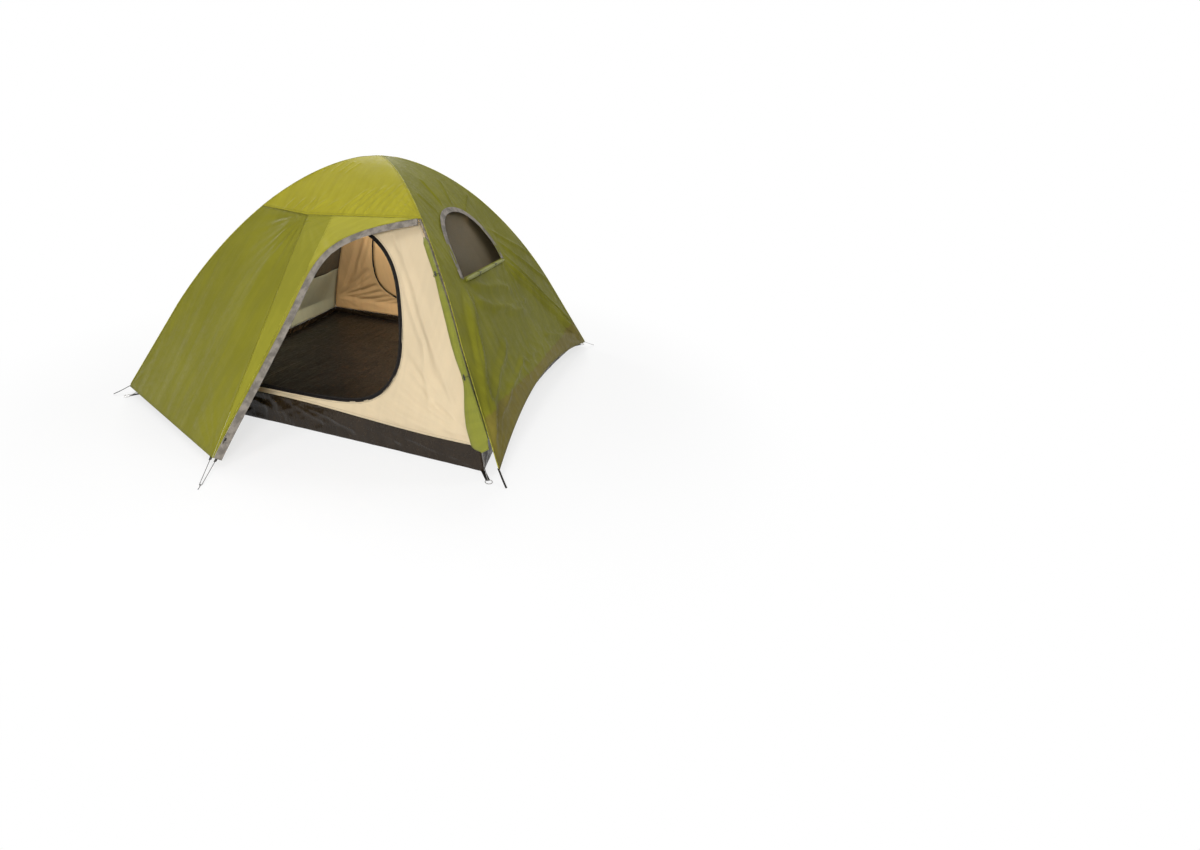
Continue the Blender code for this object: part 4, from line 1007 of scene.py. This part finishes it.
def door_row(s, lift, wide=56):
    t = tau_at(s, 1.6)
    tau0, u0 = on_face(zip_edge(t, ZIP_BAND + GAP), (t, zip_u(t)))
    row = []
    for j in range(wide):
        part = j / (wide - 1)
        tau, u = tau0 + (0.075 + 0.925 * t - tau0) * part, u0 + (0.9990 - u0) * part
        row.append(vestibule(tau, u, 1) + face_normal(tau, u, 1) * lift)
    return row


def door_fold(a, b, p):
    foot = Vector((FLY_CORNER.x, -FLY_CORNER.y, FLY_CORNER.z))
    h = 0.0045 * rays(p, foot, -ACROSS, 9, 0.35, 4.4)
    h += 0.0028 * wave(p.x * 3.5, p.z * 16, 2.7) * (1 - ease((b - 0.25) / 0.3))
    h += 0.0022 * wave(p.x * 7, p.z * 6, 9.1)
    return h


for turn, where in ENDS:
    panel(
        f"vestibule_{where}_left_cloth", grid(110, 90, left_point), LEFT_GREEN_SHADED, BASE,
        [f"vestibule_{where}_side_panel"], "fly_green", left_fold, turn=turn, plain="r",
    )
    panel(
        f"vestibule_{where}_ridge_cloth", grid(150, 34, ridge_point), RIDGE_GREEN_PAINTED_LIGHT, BASE,
        [f"vestibule_{where}_ridge_panel"], "cap_green", ridge_fold, 0.008, turn=turn, tones=ridge_painted_light, plain="l",
    )
    panel(
        f"fly_{where}_zip_band_cloth", grid(420, 13, band_point), ZIP_GREY, BASE, [f"fly_{where}_zip_band"],
        "zip_grey", band_fold, 0.003, turn=turn,
    )

DOOR_FACE = DOOR_LIFT + CLOTH
panel(
    "rear_fly_door_cloth", [door_row(i / 79, DOOR_FACE) for i in range(80)], DOOR_GREEN, "rear_fly_door",
    ["fly_rear_door"], "fly_green", door_fold, turn=True,
)
VENT_CORNERS = ((0.1429, -0.2963, 0.7324), (0.0929, -0.6421, 0.1028), (0.3867, -0.5232, 0.1181))
VENT = [Vector((x * WIDTH, y * DEPTH, z * HEIGHT)) for x, y, z in VENT_CORNERS]


DOOR_MIDDLE = (0.5, 0.4)


def door_point(point, lift):
    tau, u = on_face(point, DOOR_MIDDLE)
    return vestibule(tau, u, 1) + face_normal(tau, u, 1) * lift


def vent_point(s, v):
    s = 0.02 + 0.98 * s
    return door_point(VENT[0].lerp(VENT[1], s).lerp(VENT[0].lerp(VENT[2], s), v), DOOR_FACE + 0.0034)


def vent_fold(a, b, p):
    return 0.0022 * wave(p.x * 9, p.z * 5, 3.3) + 0.0012 * wave(p.x * 20, p.z * 13, 5.0)


panel(
    "rear_vent_cloth", grid(44, 26, vent_point), VENT_GREEN, "rear_fly_door", ["fly_rear_door_vent"],
    "grey_green_cloth", vent_fold, 0.02, turn=True,
)


def tape_on_door(name, a, b, lift, width, material, slot, count=40):
    centres = [door_point(a.lerp(b, i / (count - 1)), DOOR_FACE + lift) for i in range(count)]
    sides = []
    for i in range(count):
        run = (centres[min(i + 1, count - 1)] - centres[max(i - 1, 0)]).normalized()
        sides.append(face_normal(*on_face(centres[i], DOOR_MIDDLE), 1).cross(run).normalized())
    ribbon(name, centres, sides, width, material, turn=True, slot=slot, body="rear_fly_door")


for number, foot in ((1, VENT[1]), (2, VENT[2])):
    tape_on_door(f"rear_vent_zip_{number}", VENT[0], foot, 0.0050, 0.007, BINDING_BLACK, "black_webbing")
skirt = [RIDGE_FOOT.lerp(RIDGE_TOP, 0.1) + Vector((0.07, 0.02, 0.0)), fly_at(15.0, 1, -1) - 0.012 * ACROSS]
tape_on_door("rear_door_skirt_seam", *skirt, 0.0030, 0.009, SEAM_GREEN_LIT, "fly_green")
for number, share in ((1, 0.25), (2, 0.73)):
    foot = door_point(VENT[1].lerp(VENT[2], share), DOOR_FACE + 0.006)
    loop = [foot + Vector((x, 0, z)) for x, z in ((0, 0), (-0.004, 0.030), (0, 0.040), (0.004, 0.030))]
    tube(
        f"rear_vent_loop_{number}", loop, 0.0013, WEB_BLACK, slot="black_trim", turn=True, cyclic=True,
        body="rear_fly_door",
    )


# ---- seams over the poles and between the panels
CORNERS = ((False, 1, "front_right"), (False, -1, "front_left"), (True, 1, "rear_left"), (True, -1, "rear_right"))


def welt(name, points, radius, material, turn):
    tube(name, points, radius, material, slot="fly_green", turn=turn)


def cap_seam_point(s):
    x = seam_corner.x * (2 * s - 1) * 0.998
    pull = dip(x, seam_corner.x)
    return Vector((x, -seam_corner.y + pull * (RIDGE_TOP.y + seam_corner.y), SEAM_Z + pull * (RIDGE_TOP.z - SEAM_Z)))


def ridge_seam_point(s):
    tau, u = on_face(RIDGE_SEAM_TOP.lerp(RIDGE_FOOT, s * 0.97), (s, 0.1))
    return vestibule(tau, u, 1) + face_normal(tau, u, 1) * 0.0004


# The pole seams' welts are painted lighter than the fly: a painted highlight along the raised seam.
for turn, side, place in CORNERS:
    line = [fly_at(0.1 + (ROWS - 0.25) * i / 90, side, -1) for i in range(91)]
    welt(f"pole_seam_{place}", line, 0.0022, SEAM_GREEN_LIT, turn)
for turn, end in ENDS:
    welt(f"ridge_fold_{end}", [vestibule(i / 60 * 0.99, 0.0, 1) for i in range(61)], 0.0009, RIDGE_GREEN_PAINTED_LIGHT, turn)
    welt(f"ridge_seam_{end}", [ridge_seam_point(i / 60) for i in range(61)], 0.0013, SEAM_GREEN_LIT, turn)
    welt(f"cap_seam_{end}", [cap_seam_point(i / 70) for i in range(71)], 0.0018, SEAM_DARK, turn)


# ---- the front door, rolled up along its pole seam
ROLL_R, PINCH, LOOP_R = 0.019, 0.9, 0.0012
LOOP_REACH = ROLL_R * PINCH + LOOP_R + GAP * 3
ROLL_CLEAR = SLEEVE_R * 0.92 + SLEEVE_WALL + LOOP_REACH + LOOP_R + GAP
ROLL_TOP_Z, ROLL_FOOT_Z = 0.7285 * HEIGHT, 0.0860 * HEIGHT
TOGGLE_HEIGHTS = (0.6135 * HEIGHT, 0.3067 * HEIGHT)
POLE_ARCH = [arch_at(i / ROWS, HEIGHT) for i in range(ROWS + 1)]
POLE_LINE = [Vector((reach * WIDTH / 2, -reach * DEPTH / 2, z)) for reach, z in POLE_ARCH]
OFF_SEAM = 0.0215


def clear_of_pole(point):
    nearest = None
    for a, b in zip(POLE_LINE, POLE_LINE[1:]):
        share = min(max((point - a).dot(b - a) / (b - a).length_squared, 0.0), 1.0)
        foot = a.lerp(b, share)
        if nearest is None or (point - foot).length < (point - nearest).length:
            nearest = foot
    away = point - nearest
    return nearest + away.normalized() * max(away.length, ROLL_CLEAR)


def roll_point(z):
    at = row_at_height(FLY, z)
    run = (fly_at(min(at + 0.5, ROWS), 1, -1) - fly_at(at - 0.5, 1, -1)).normalized()
    out = -ACROSS.cross(run).normalized()
    if out.y > 0:
        out = -out
    return clear_of_pole(fly_at(at, 1, -1) + (out - ACROSS) * OFF_SEAM), run


def roll_height(s):
    return ROLL_TOP_Z + (ROLL_FOOT_Z - ROLL_TOP_Z) * s


def from_tie(s):
    return min(abs(roll_height(s) - t) for t in TOGGLE_HEIGHTS)


def bundle_width(s):
    """How far the tied-back door spreads, as a share of its radius: it flares below the lower tie."""
    return 1.0 + 0.12 * ease(from_tie(s) / 0.10) + 1.35 * ease((TOGGLE_HEIGHTS[1] - roll_height(s)) / 0.22)


def level_with(run):
    return (ACROSS - run * ACROSS.dot(run)).normalized()


def bundle(s, run):
    """The door's cloth lies in flat folds, wider than it is deep."""
    return level_with(run) * bundle_width(s), run.cross(level_with(run)) * (0.95 - 0.15 * s)


roll_path = []
for i in range(110):
    s = i / 109
    share = (0.62 + 0.30 * ease(s / 0.6)) * (0.92 + 0.10 * ease(from_tie(s) / 0.09))
    share *= (0.40 + 0.60 * ease(s / 0.03)) * (0.45 + 0.55 * ease((1 - s) / 0.04))
    spread = ROLL_R * (bundle_width(s) - 1.0) * share
    roll_path.append((roll_point(roll_height(s))[0] - spread * ACROSS, share))
rolled(
    "front_fly_door_roll", roll_path, ROLL_R, ROLL_GREEN, ["fly_front_door_rolled"], "roll_green", 7.0, around=64,
    loose=bundle,
)
for number, z in enumerate(TOGGLE_HEIGHTS, 1):
    at, run = roll_point(z)
    out = run.cross(level_with(run))
    if out.y > 0:
        out = -out
    loop_and_barrel(f"door_tie_{number}", at, run, out, ROLL_R * 0.86, barrel=0.0042, long=0.030)
    frame["nodes"][f"door_roll_toggle_{number}"].hide_render = True
    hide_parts(f"door_roll_toggle_{number}")


# ---- inner tent
FLAT_FOOT, FLAT_HEAD = between(INNER_ARCH, TUB_ROW), between(INNER_ARCH, FLAT_ROW)


def inner_point(at, v, half, across_half, pull):
    """(across, out, height) of a point of an inner wall."""
    reach, z = between(INNER_ARCH, at)
    flat = reach
    if z < FLAT_TOP:
        flat = FLAT_FOOT.x + (FLAT_HEAD.x - FLAT_FOOT.x) * (z - FLAT_FOOT.y) / (FLAT_HEAD.y - FLAT_FOOT.y)
    v = 2 * v - 1
    lean = ease((abs(v) - FLAT_PART) / (1 - FLAT_PART))
    return v * max(reach * across_half - pull, 0.0012), (flat + (reach - flat) * lean) * half + 0.0005, z


def front_point(s, v):
    across, out, z = inner_point(0.02 + (TUB_ROW - 0.02) * s, v, DEPTH / 2, WIDTH / 2, 0.0)
    return Vector((across, -out, z))


def side_wall(first, last, count):
    def point(s, v):
        across, out, z = inner_point(first + (last - first) * s, v, WIDTH / 2, DEPTH / 2, CORNER_STEP)
        return Vector((out, across, z))

    return grid(count, 48, point)


WALL_UP = Vector((0.0, (FLAT_FOOT.x - FLAT_HEAD.x) * DEPTH / 2, FLAT_HEAD.y - FLAT_FOOT.y)).normalized()
WALL_OUT = ACROSS.cross(WALL_UP)
WALL_AT = Vector((0.0, -FLAT_FOOT.x * DEPTH / 2 - 0.0005, FLAT_FOOT.y)) - WALL_OUT * CLOTH / 2
WALL_FRAME = Matrix.Translation(WALL_AT) @ Matrix(((1, 0, 0), WALL_UP, WALL_OUT)).transposed().to_4x4()
DOOR_HINGE_X = -0.1429 * WIDTH
DOOR_SHARES = [
    (-0.1429, 0.7247), (-0.0238, 0.7477), (0.0571, 0.7400), (0.1119, 0.7094), (0.1595, 0.6518), (0.1952, 0.5752),
    (0.2238, 0.4678), (0.2438, 0.3604), (0.2476, 0.2837), (0.2333, 0.2186), (0.2000, 0.1725), (0.1476, 0.1495),
    (0.0476, 0.1396), (-0.1429, 0.1380),
]
BINDING = 0.020
door_line = [(x * WIDTH, (z * HEIGHT - WALL_AT.z) / WALL_UP.z) for x, z in smooth(DOOR_SHARES, 6)]
wall_hole = moved_out(door_line, BINDING / 2 - 0.004)
door_panel = moved_out(door_line, -BINDING / 2 + 0.004)
for shape, x in ((wall_hole, DOOR_HINGE_X - 0.0016), (door_panel, DOOR_HINGE_X)):
    shape[0], shape[-1] = (x, shape[0][1]), (x, shape[-1][1])


WALL_CREASES = [
    ((0.535, 0.470), (0.985, 0.150), 0.0080, 0.030),
    ((0.535, 0.400), (0.985, 0.145), 0.0060, 0.022),
    ((0.515, 0.320), (0.970, 0.140), 0.0080, 0.026),
    ((0.480, 0.265), (0.930, 0.135), 0.0060, 0.020),
    ((0.430, 0.225), (0.800, 0.128), 0.0060, 0.020),
    ((0.370, 0.205), (0.640, 0.128), 0.0045, 0.016),
    ((0.300, 0.192), (0.470, 0.140), 0.0035, 0.014),
    ((0.330, 1.000), (0.800, 0.330), 0.0080, 0.034),
    ((0.400, 0.820), (0.640, 0.470), 0.0060, 0.026),
    ((0.550, 0.720), (0.900, 0.220), 0.0090, 0.034),
    ((0.610, 0.560), (0.760, 0.180), 0.0060, 0.024),
    ((0.260, 1.020), (0.420, 0.860), 0.0050, 0.018),
    ((0.060, 1.060), (0.100, 0.985), 0.0040, 0.012),
    ((0.110, 1.065), (0.140, 0.985), 0.0035, 0.012),
    ((0.170, 1.055), (0.190, 0.970), 0.0040, 0.012),
    ((-0.480, 0.600), (-0.985, 0.165), 0.0080, 0.035),
]


def wall_fold(a, b, p):
    x, z = p.x, p.z
    h = 0.0045 * wave(x * 4.5 + z * 2.4, z * 1.5, 1.7) * ease((x - 0.45) / 0.2)
    for side, seed in ((1, 3.0), (-1, 5.0)):
        h += 0.0060 * rays(p, Vector((side * 0.99, -0.87, TUB_H)), -side * ACROSS, 7, 0.40, seed)
    h += 0.0030 * bell(a, 0.0, 0.2) * wave(x * 20, z * 3, 2.3)
    h += 0.0030 * bell(a, 1.0, 0.10) * wave(x * 17, z * 4, 4.3)
    h *= 0.25 + 0.75 * ease((abs(x) - 0.40) / 0.25)
    return h + creases(x, z, WALL_CREASES, 1.5)


def lower_fold(a, b, p):
    return 0.0040 * wave(p.y * 6, p.z * 3, 2.0) + 0.0025 * wave(p.y * 16, p.z * 6, 4.0)


# The tub's walls: one side after the other, from the front left corner round to the right.
TUB_TURN = ((-1, -1), (1, -1), (1, 1), (-1, 1))
FRONT, RIGHT, LEFT_SIDE = 0, 1, 3
TUB_LOW = 0.30  # how high the black cloth is at the sides and the rear, as a share of the tub's height


def bowed(p, side_bow=0.062, end_bow=0.012):
    """The tub's foot is drawn in between its corners, where nothing holds it out."""
    x, y = p.x / (TUB_X / 2), p.y / (TUB_Y / 2)
    return Vector((p.x - side_bow * x * (1 - y * y), p.y - end_bow * y * (1 - x * x), p.z))


def tub_point(side, along, s):
    """A point of the tub's wall: along its side, and from its foot at 0 to the full height at 1."""
    ends = []
    for sx, sy in (TUB_TURN[side], TUB_TURN[(side + 1) % 4]):
        low = Vector((sx * TUB_X / 2, sy * TUB_Y / 2, 0.0012))
        high = Vector((sx * FLAT_FOOT.x * WIDTH / 2, sy * FLAT_FOOT.x * DEPTH / 2, TUB_H))
        ends.append(low.lerp(high, s))
    point = ends[0].lerp(ends[1], along)
    return point.lerp(bowed(point), (1 - s) ** 0.8)


def tub_seam(side, along):
    """How high the black cloth reaches, as a share of the tub's height: it is high at the front alone."""
    if side == FRONT:
        return 1.0 - 0.27 * ease((along - 0.42) / 0.5)
    if side == RIGHT:
        return TUB_LOW + (0.73 - TUB_LOW) * ease(1 - along / 0.28)
    if side == LEFT_SIDE:
        return TUB_LOW + (1.0 - TUB_LOW) * ease(1 - (1 - along) / 0.28)
    return TUB_LOW


def down_to_seam(rows, side, turned, count=8):
    """Carries a wall down over the tub to the seam where the black cloth begins."""
    real = (side + 2) % 4 if turned else side
    first = tub_point(side, 0.0, 1.0)
    run = tub_point(side, 1.0, 1.0) - first
    shares = [min(max((p - first).dot(run) / run.length_squared, 0.0), 1.0) for p in rows[-1]]
    for i in range(1, count + 1):
        row = []
        for along in shares:
            low = tub_point(side, along, 1 + (tub_seam(real, along) - 1) * i / count)
            out = low.x * ACROSS if side == RIGHT else low.y * ALONG
            row.append(low + out.normalized() * 0.0014)
        rows.append(row)
    return rows


MESH_ROW = row_at_height(INNER_ARCH, MESH_FROM)
for (turn, where), colour in zip(ENDS, (CREAM, REAR_CREAM_PAINTED_LIGHT)):
    rows = down_to_seam(grid(120, 150, front_point), FRONT, turn)
    panel(
        f"inner_{where}_wall_cloth", rows, colour, BASE, [f"inner_{where}_wall"], "cream_cloth", wall_fold, turn=turn,
        cut=(WALL_FRAME, wall_hole, False),
    )
for turn, where in SIDES:
    rows = down_to_seam(side_wall(MESH_ROW + 0.004, TUB_ROW, 24), RIGHT, turn)
    panel(
        f"inner_{where}_lower_cloth", rows, PALE_GREEN, BASE, [f"inner_{where}_lower_wall"], "grey_green_cloth",
        lower_fold, turn=turn,
    )
    panel(
        f"inner_{where}_net", side_wall(0.25, MESH_ROW, 50), NET, BASE, [f"inner_{where}_mesh_wall"], "dark_mesh",
        lower_fold, turn=turn,
    )


def rear_door_fold(a, b, p):
    return 0.0035 * wave(p.x * 6 + p.z * 2, p.z * 4, 6.0)


def flat_door_point(s, v):
    return WALL_FRAME @ Vector((-0.33 + 0.90 * v, -0.02 + 0.98 * s, CLOTH / 2))


panel(
    "inner_rear_door_cloth", grid(50, 50, flat_door_point), REAR_CREAM_PAINTED_LIGHT, "rear_inner_door", ["inner_rear_door"],
    "cream_cloth", rear_door_fold, 0.0, turn=True, cut=(WALL_FRAME, door_panel, True), flat=extent(door_panel),
)
centres = [WALL_FRAME @ Vector((*p, CLOTH / 2 + 0.0006)) for p in door_line]
sides = [
    (WALL_FRAME.to_3x3() @ Vector((a[0] - b[0], a[1] - b[1], 0.0))).normalized()
    for a, b in zip(moved_out(door_line, -1.0), moved_out(door_line, 1.0))
]
for turn, where in ENDS:
    ribbon(
        f"inner_{where}_door_binding", centres, sides, BINDING, BINDING_BLACK, [f"inner_{where}_door_zip"],
        "black_webbing", turn, rise=0.0016,
    )

rolled_path = []
ROLLED_R = 0.024
rolled_at = WALL_FRAME @ Matrix.Translation((DOOR_HINGE_X - ROLLED_R - 0.004, 0.0, ROLLED_R + CLOTH / 2 + GAP))
for i in range(70):
    s = i / 69
    y = (0.0345 + (0.6365 - 0.0345) * s) * HEIGHT
    share = (0.55 + 0.45 * ease(s / 0.05)) * (0.55 + 0.45 * ease((1 - s) / 0.05))
    share *= 1 - 0.14 * bell(s, 0.3, 0.03) - 0.14 * bell(s, 0.7, 0.03)
    rolled_path.append((rolled_at @ Vector((0.0, y, 0.0)), share))
rolled("inner_front_door_roll", rolled_path, ROLLED_R, CREAM_ROLL, ["inner_front_door_rolled"], "cream_cloth", 11.0)


# ---- groundsheet tub
def tub_wall_rows(count=22, each=170):
    rows = []
    for i in range(count):
        row = []
        for side in range(4):
            for along in (j / each for j in range(each)):
                row.append(tub_point(side, along, tub_seam(side, along) * i / (count - 1)))
        rows.append(row + [row[0].copy()])
    return rows


TUB_CREASES = [
    ((-0.05, 0.120), (0.22, 0.050), 0.0060, 0.020),
    ((0.10, 0.125), (0.40, 0.040), 0.0070, 0.022),
    ((0.32, 0.115), (0.66, 0.035), 0.0060, 0.020),
    ((0.52, 0.105), (0.98, 0.030), 0.0080, 0.022),
    ((0.60, 0.080), (1.03, 0.012), 0.0060, 0.018),
    ((0.72, 0.105), (1.00, 0.050), 0.0050, 0.014),
    ((-0.60, 0.110), (-0.30, 0.050), 0.0040, 0.018),
]


def tub_fold(a, b, p):
    around = p.x if abs(p.y) > 0.88 * abs(p.x) else p.y
    h = 0.0110 * (ridged(around * 4.5 + p.z * 5, p.z * 9, 1.0) - 0.55)
    h += 0.0085 * (ridged(around * 11 - p.z * 9, p.z * 12, 5.0) - 0.55)
    h += 0.0012 * wave(around * 26, p.z * 26, 7.0)
    if p.y < -0.85 * TUB_Y / 2:
        h += creases(p.x, p.z, TUB_CREASES)
    return h * math.sin(math.pi * min(max(a, 0.02), 0.98)) ** 0.5 * ease((0.98 - a) / 0.25)


panel(
    "groundsheet_walls", tub_wall_rows(), TUB, BASE, ["groundsheet_tub"], "black_tub", tub_fold, 0.0, cyclic=True,
    thickness=0.0010,
)


def floor_point(s, v):
    return bowed(Vector((TUB_X * (v - 0.5), TUB_Y * (s - 0.5), 0.0028)))


def floor_fold(a, b, p):
    return 0.0022 * (ridged(p.x * 4, p.y * 4, 2.0) - 0.2) + 0.0012 * ridged(p.x * 11, p.y * 9, 5.0)


panel(
    "groundsheet_floor", grid(60, 60, floor_point), FLOOR, BASE, ["groundsheet_tub"], "black_tub", floor_fold, 0.06,
    inside=Vector((0, 0, -5)), thickness=0.0010,
)


# ---- pole sleeves
def sleeve(name, height, sx, sy):
    last = int(SLEEVE_END * ROWS)
    path = []
    for sign, order in ((1, range(last * 6, -1, -1)), (-1, range(1, last * 6 + 1))):
        for i in order:
            k = i / 6
            low = min(int(k), ROWS - 1)
            a, b = arch_at(low / ROWS, height), arch_at((low + 1) / ROWS, height)
            reach, z = a.lerp(b, k - low)
            path.append(Vector((sign * sx * reach * WIDTH / 2, sign * sy * reach * DEPTH / 2, z)))
    radii = [1.0 + 0.05 * wave(i * 0.35, 0.0, 3.0) for i in range(len(path))]
    tube(name + "_cloth", path, SLEEVE_R + SLEEVE_WALL, SLEEVE_GREY, [name], "sleeve_grey", radii=radii)


sleeve("pole_sleeve_front_right", HEIGHT, 1, -1)
sleeve("pole_sleeve_front_left", HEIGHT - CROSS_DROP, -1, -1)


# ---- ground: webbing, straps and cords
def mirrored(point, sx, sy):
    return Vector((point[0] * sx, -point[1] * sy, point[2]))


RING_AT = Vector((WIDTH / 2 + 0.048, -DEPTH / 2 - 0.070, 0.0))
FLY_TIP = Vector((FLY_CORNER.x, -FLY_CORNER.y, FLY_CORNER.z))
STAKE = Vector((WIDTH / 2 + 0.136, -DEPTH / 2 - 0.086, 0.0042))


def strap_piece(name, node, points, width, sx, sy):
    """Flat webbing along points."""
    centres = [mirrored(p, sx, sy) for p in smooth([tuple(p) for p in points], 6)]
    sides = []
    for i in range(len(centres)):
        run = centres[min(i + 1, len(centres) - 1)] - centres[max(i - 1, 0)]
        sides.append(run.cross(UP).normalized())
    ribbon(name, centres, sides, width, WEB_BLACK, [node], "black_webbing", rise=0.0003, thickness=0.0012)


tub_corner = Vector((TUB_X / 2 - 0.004, -TUB_Y / 2 + 0.004, 0.0026))
ring_end = RING_AT.lerp(tub_corner, 0.12) + UP * 0.0030
corner_line = [tub_corner, tub_corner.lerp(ring_end, 0.35), tub_corner.lerp(ring_end, 0.7), ring_end]
strap_top = FLY_TIP + Vector((-0.010, 0.010, 0.006))
strap_line = [strap_top, FLY_TIP, FLY_TIP.lerp(STAKE, 0.5) - UP * 0.001, STAKE + UP * 0.001]
for place, sx, sy in (("front_right", 1, -1), ("front_left", -1, -1), ("rear_right", 1, 1), ("rear_left", -1, 1)):
    strap_piece(f"corner_webbing_{place}_strap", f"corner_webbing_{place}", corner_line, 0.020, sx, sy)
    strap_piece(f"fly_strap_{place}_tape", f"fly_strap_{place}", strap_line, 0.009, sx, sy)
CORD_R = 0.0014
PEG_AT = Vector((RIDGE_FOOT.x + 0.074, RIDGE_FOOT.y - 0.147, 0.0))
LOOP_Z = 0.0034
drop = CORD_R + GAP
bottom = PEG_AT + UP * LOOP_Z
cord_left = vestibule(1, 0.010, -1) - UP * drop
cord_right = zip_edge(1, 0.014) + (zip_edge(1, 0.014) - zip_edge(0.98, 0.014)).normalized() * drop
pull = (bottom - RIDGE_FOOT).normalized()
side = Vector((-pull.y, pull.x, 0)).normalized()
bend = [(-0.0055, -0.0050), (-0.0026, 0.0), (0.0026, 0.0), (0.0055, -0.0050)]
cord_path = [cord_left] + [bottom + side * a + pull * b for a, b in bend] + [cord_right]
for turn, where in ENDS:
    cord = tube(
        f"vestibule_{where}_cord_line", cord_path, CORD_R, CORD, [f"vestibule_{where}_cord"], "cord_grey", turn,
        resolution=3,
    )
    for number, (p, q) in enumerate(((cord_left, cord_path[1]), (cord_right, cord_path[-2])), 1):
        run = (q - p).normalized()
        tab = [p - run * 0.028 + UP * 0.006, p - run * 0.012 + UP * 0.002, p + run * 0.004, p + run * 0.016]
        line = [Vector(x) for x in smooth([tuple(x) for x in tab], 4)]
        across = [run.cross(UP).normalized()] * len(line)
        ribbon(f"vestibule_{where}_tab_{number}", line, across, 0.012, WEB_BLACK, turn=turn, slot="black_webbing")

# ---- what stays of the solids gets its finish
FINISHES = (("pole_.*", POLE), ("ring_pin.*", STEEL), (".*_hook", DARK_STEEL), (".*", PLASTIC))
for name, node in frame["nodes"].items():
    if not node.hide_render:
        node.data.materials.clear()
        node.data.materials.append(next(finish for pattern, finish in FINISHES if re.fullmatch(pattern, name)))


# ---- stage and light
def stage():
    bpy.ops.mesh.primitive_plane_add(size=120.0, location=(0.0, 0.0, -0.0004))
    floor = bpy.context.object
    floor.name = "floor"
    n = Nodes("pale_floor")
    n.set(n.shader, "Base Color", (0.86, 0.86, 0.86, 1.0))
    n.set(n.shader, "Roughness", 0.9)
    n.set(n.shader, "Specular IOR Level", 0.0)
    far = n.add("VectorMath", {0: n.place()}, operation="LENGTH").outputs["Value"]
    share = n.maths("MULTIPLY", seen_ray(n.tree), n.span(far, 1.3, 2.6, 0.72, 1.0))
    n.under(share, n.add("Emission", {"Color": (1.0, 1.0, 1.0, 1.0), "Strength": 1.0}))
    floor.data.materials.append(n.material)


def seen_ray(tree):
    """1 for what the camera sees, directly, in gloss or through something."""
    path = tree.nodes.new("ShaderNodeLightPath")
    value = path.outputs["Is Camera Ray"]
    for other in ("Is Glossy Ray", "Is Transmission Ray"):
        both = tree.nodes.new("ShaderNodeMath")
        both.operation = "MAXIMUM"
        tree.links.new(value, both.inputs[0])
        tree.links.new(path.outputs[other], both.inputs[1])
        value = both.outputs[0]
    return value


def area_light(name, at, aim, size, power):
    data = bpy.data.lights.new(name, "AREA")
    data.shape = "DISK"
    data.size = size
    data.energy = power
    made = new_object(name, data)
    made.location = at
    made.visible_camera = False
    made.rotation_euler = (Vector(aim) - Vector(at)).to_track_quat("-Z", "Y").to_euler()


stage()
LAMPS = (  # name, place, aim, size, watts
    ("front", (1.9, -5.0, 2.1), (0, 0, 0.45), 1.8, 190.0),
    ("top", (-0.6, -1.2, 6.0), (0, 0, 0.5), 2.2, 75.0),
    ("side", (3.4, 3.2, 5.0), (0, 0, 0.5), 1.4, 60.0),
    ("left", (-5.0, 2.0, 3.2), (0, 0, 0.5), 1.6, 70.0),
    ("inside", (0.05, -0.15, 1.0), (-0.25, 0.85, 0.30), 0.4, 16.0),
    ("back", (-1.8, 3.4, 5.0), (0, 0, 0.45), 1.8, 130.0),
)
for lamp in LAMPS:
    area_light(*lamp)
bpy.data.objects["front"].visible_glossy = False  # it would glare on the top when seen from behind
world = bpy.data.worlds.new("world")
bpy.context.scene.world = world
world.use_nodes = True
background = world.node_tree.nodes["Background"]
background.inputs[0].default_value = (1.0, 1.0, 1.0, 1.0)
strength = world.node_tree.nodes.new("ShaderNodeMapRange")
strength.inputs[3].default_value = 0.22
strength.inputs[4].default_value = 1.0
world.node_tree.links.new(seen_ray(world.node_tree), strength.inputs[0])
world.node_tree.links.new(strength.outputs[0], background.inputs[1])
bpy.context.scene.view_settings.view_transform = "Standard"
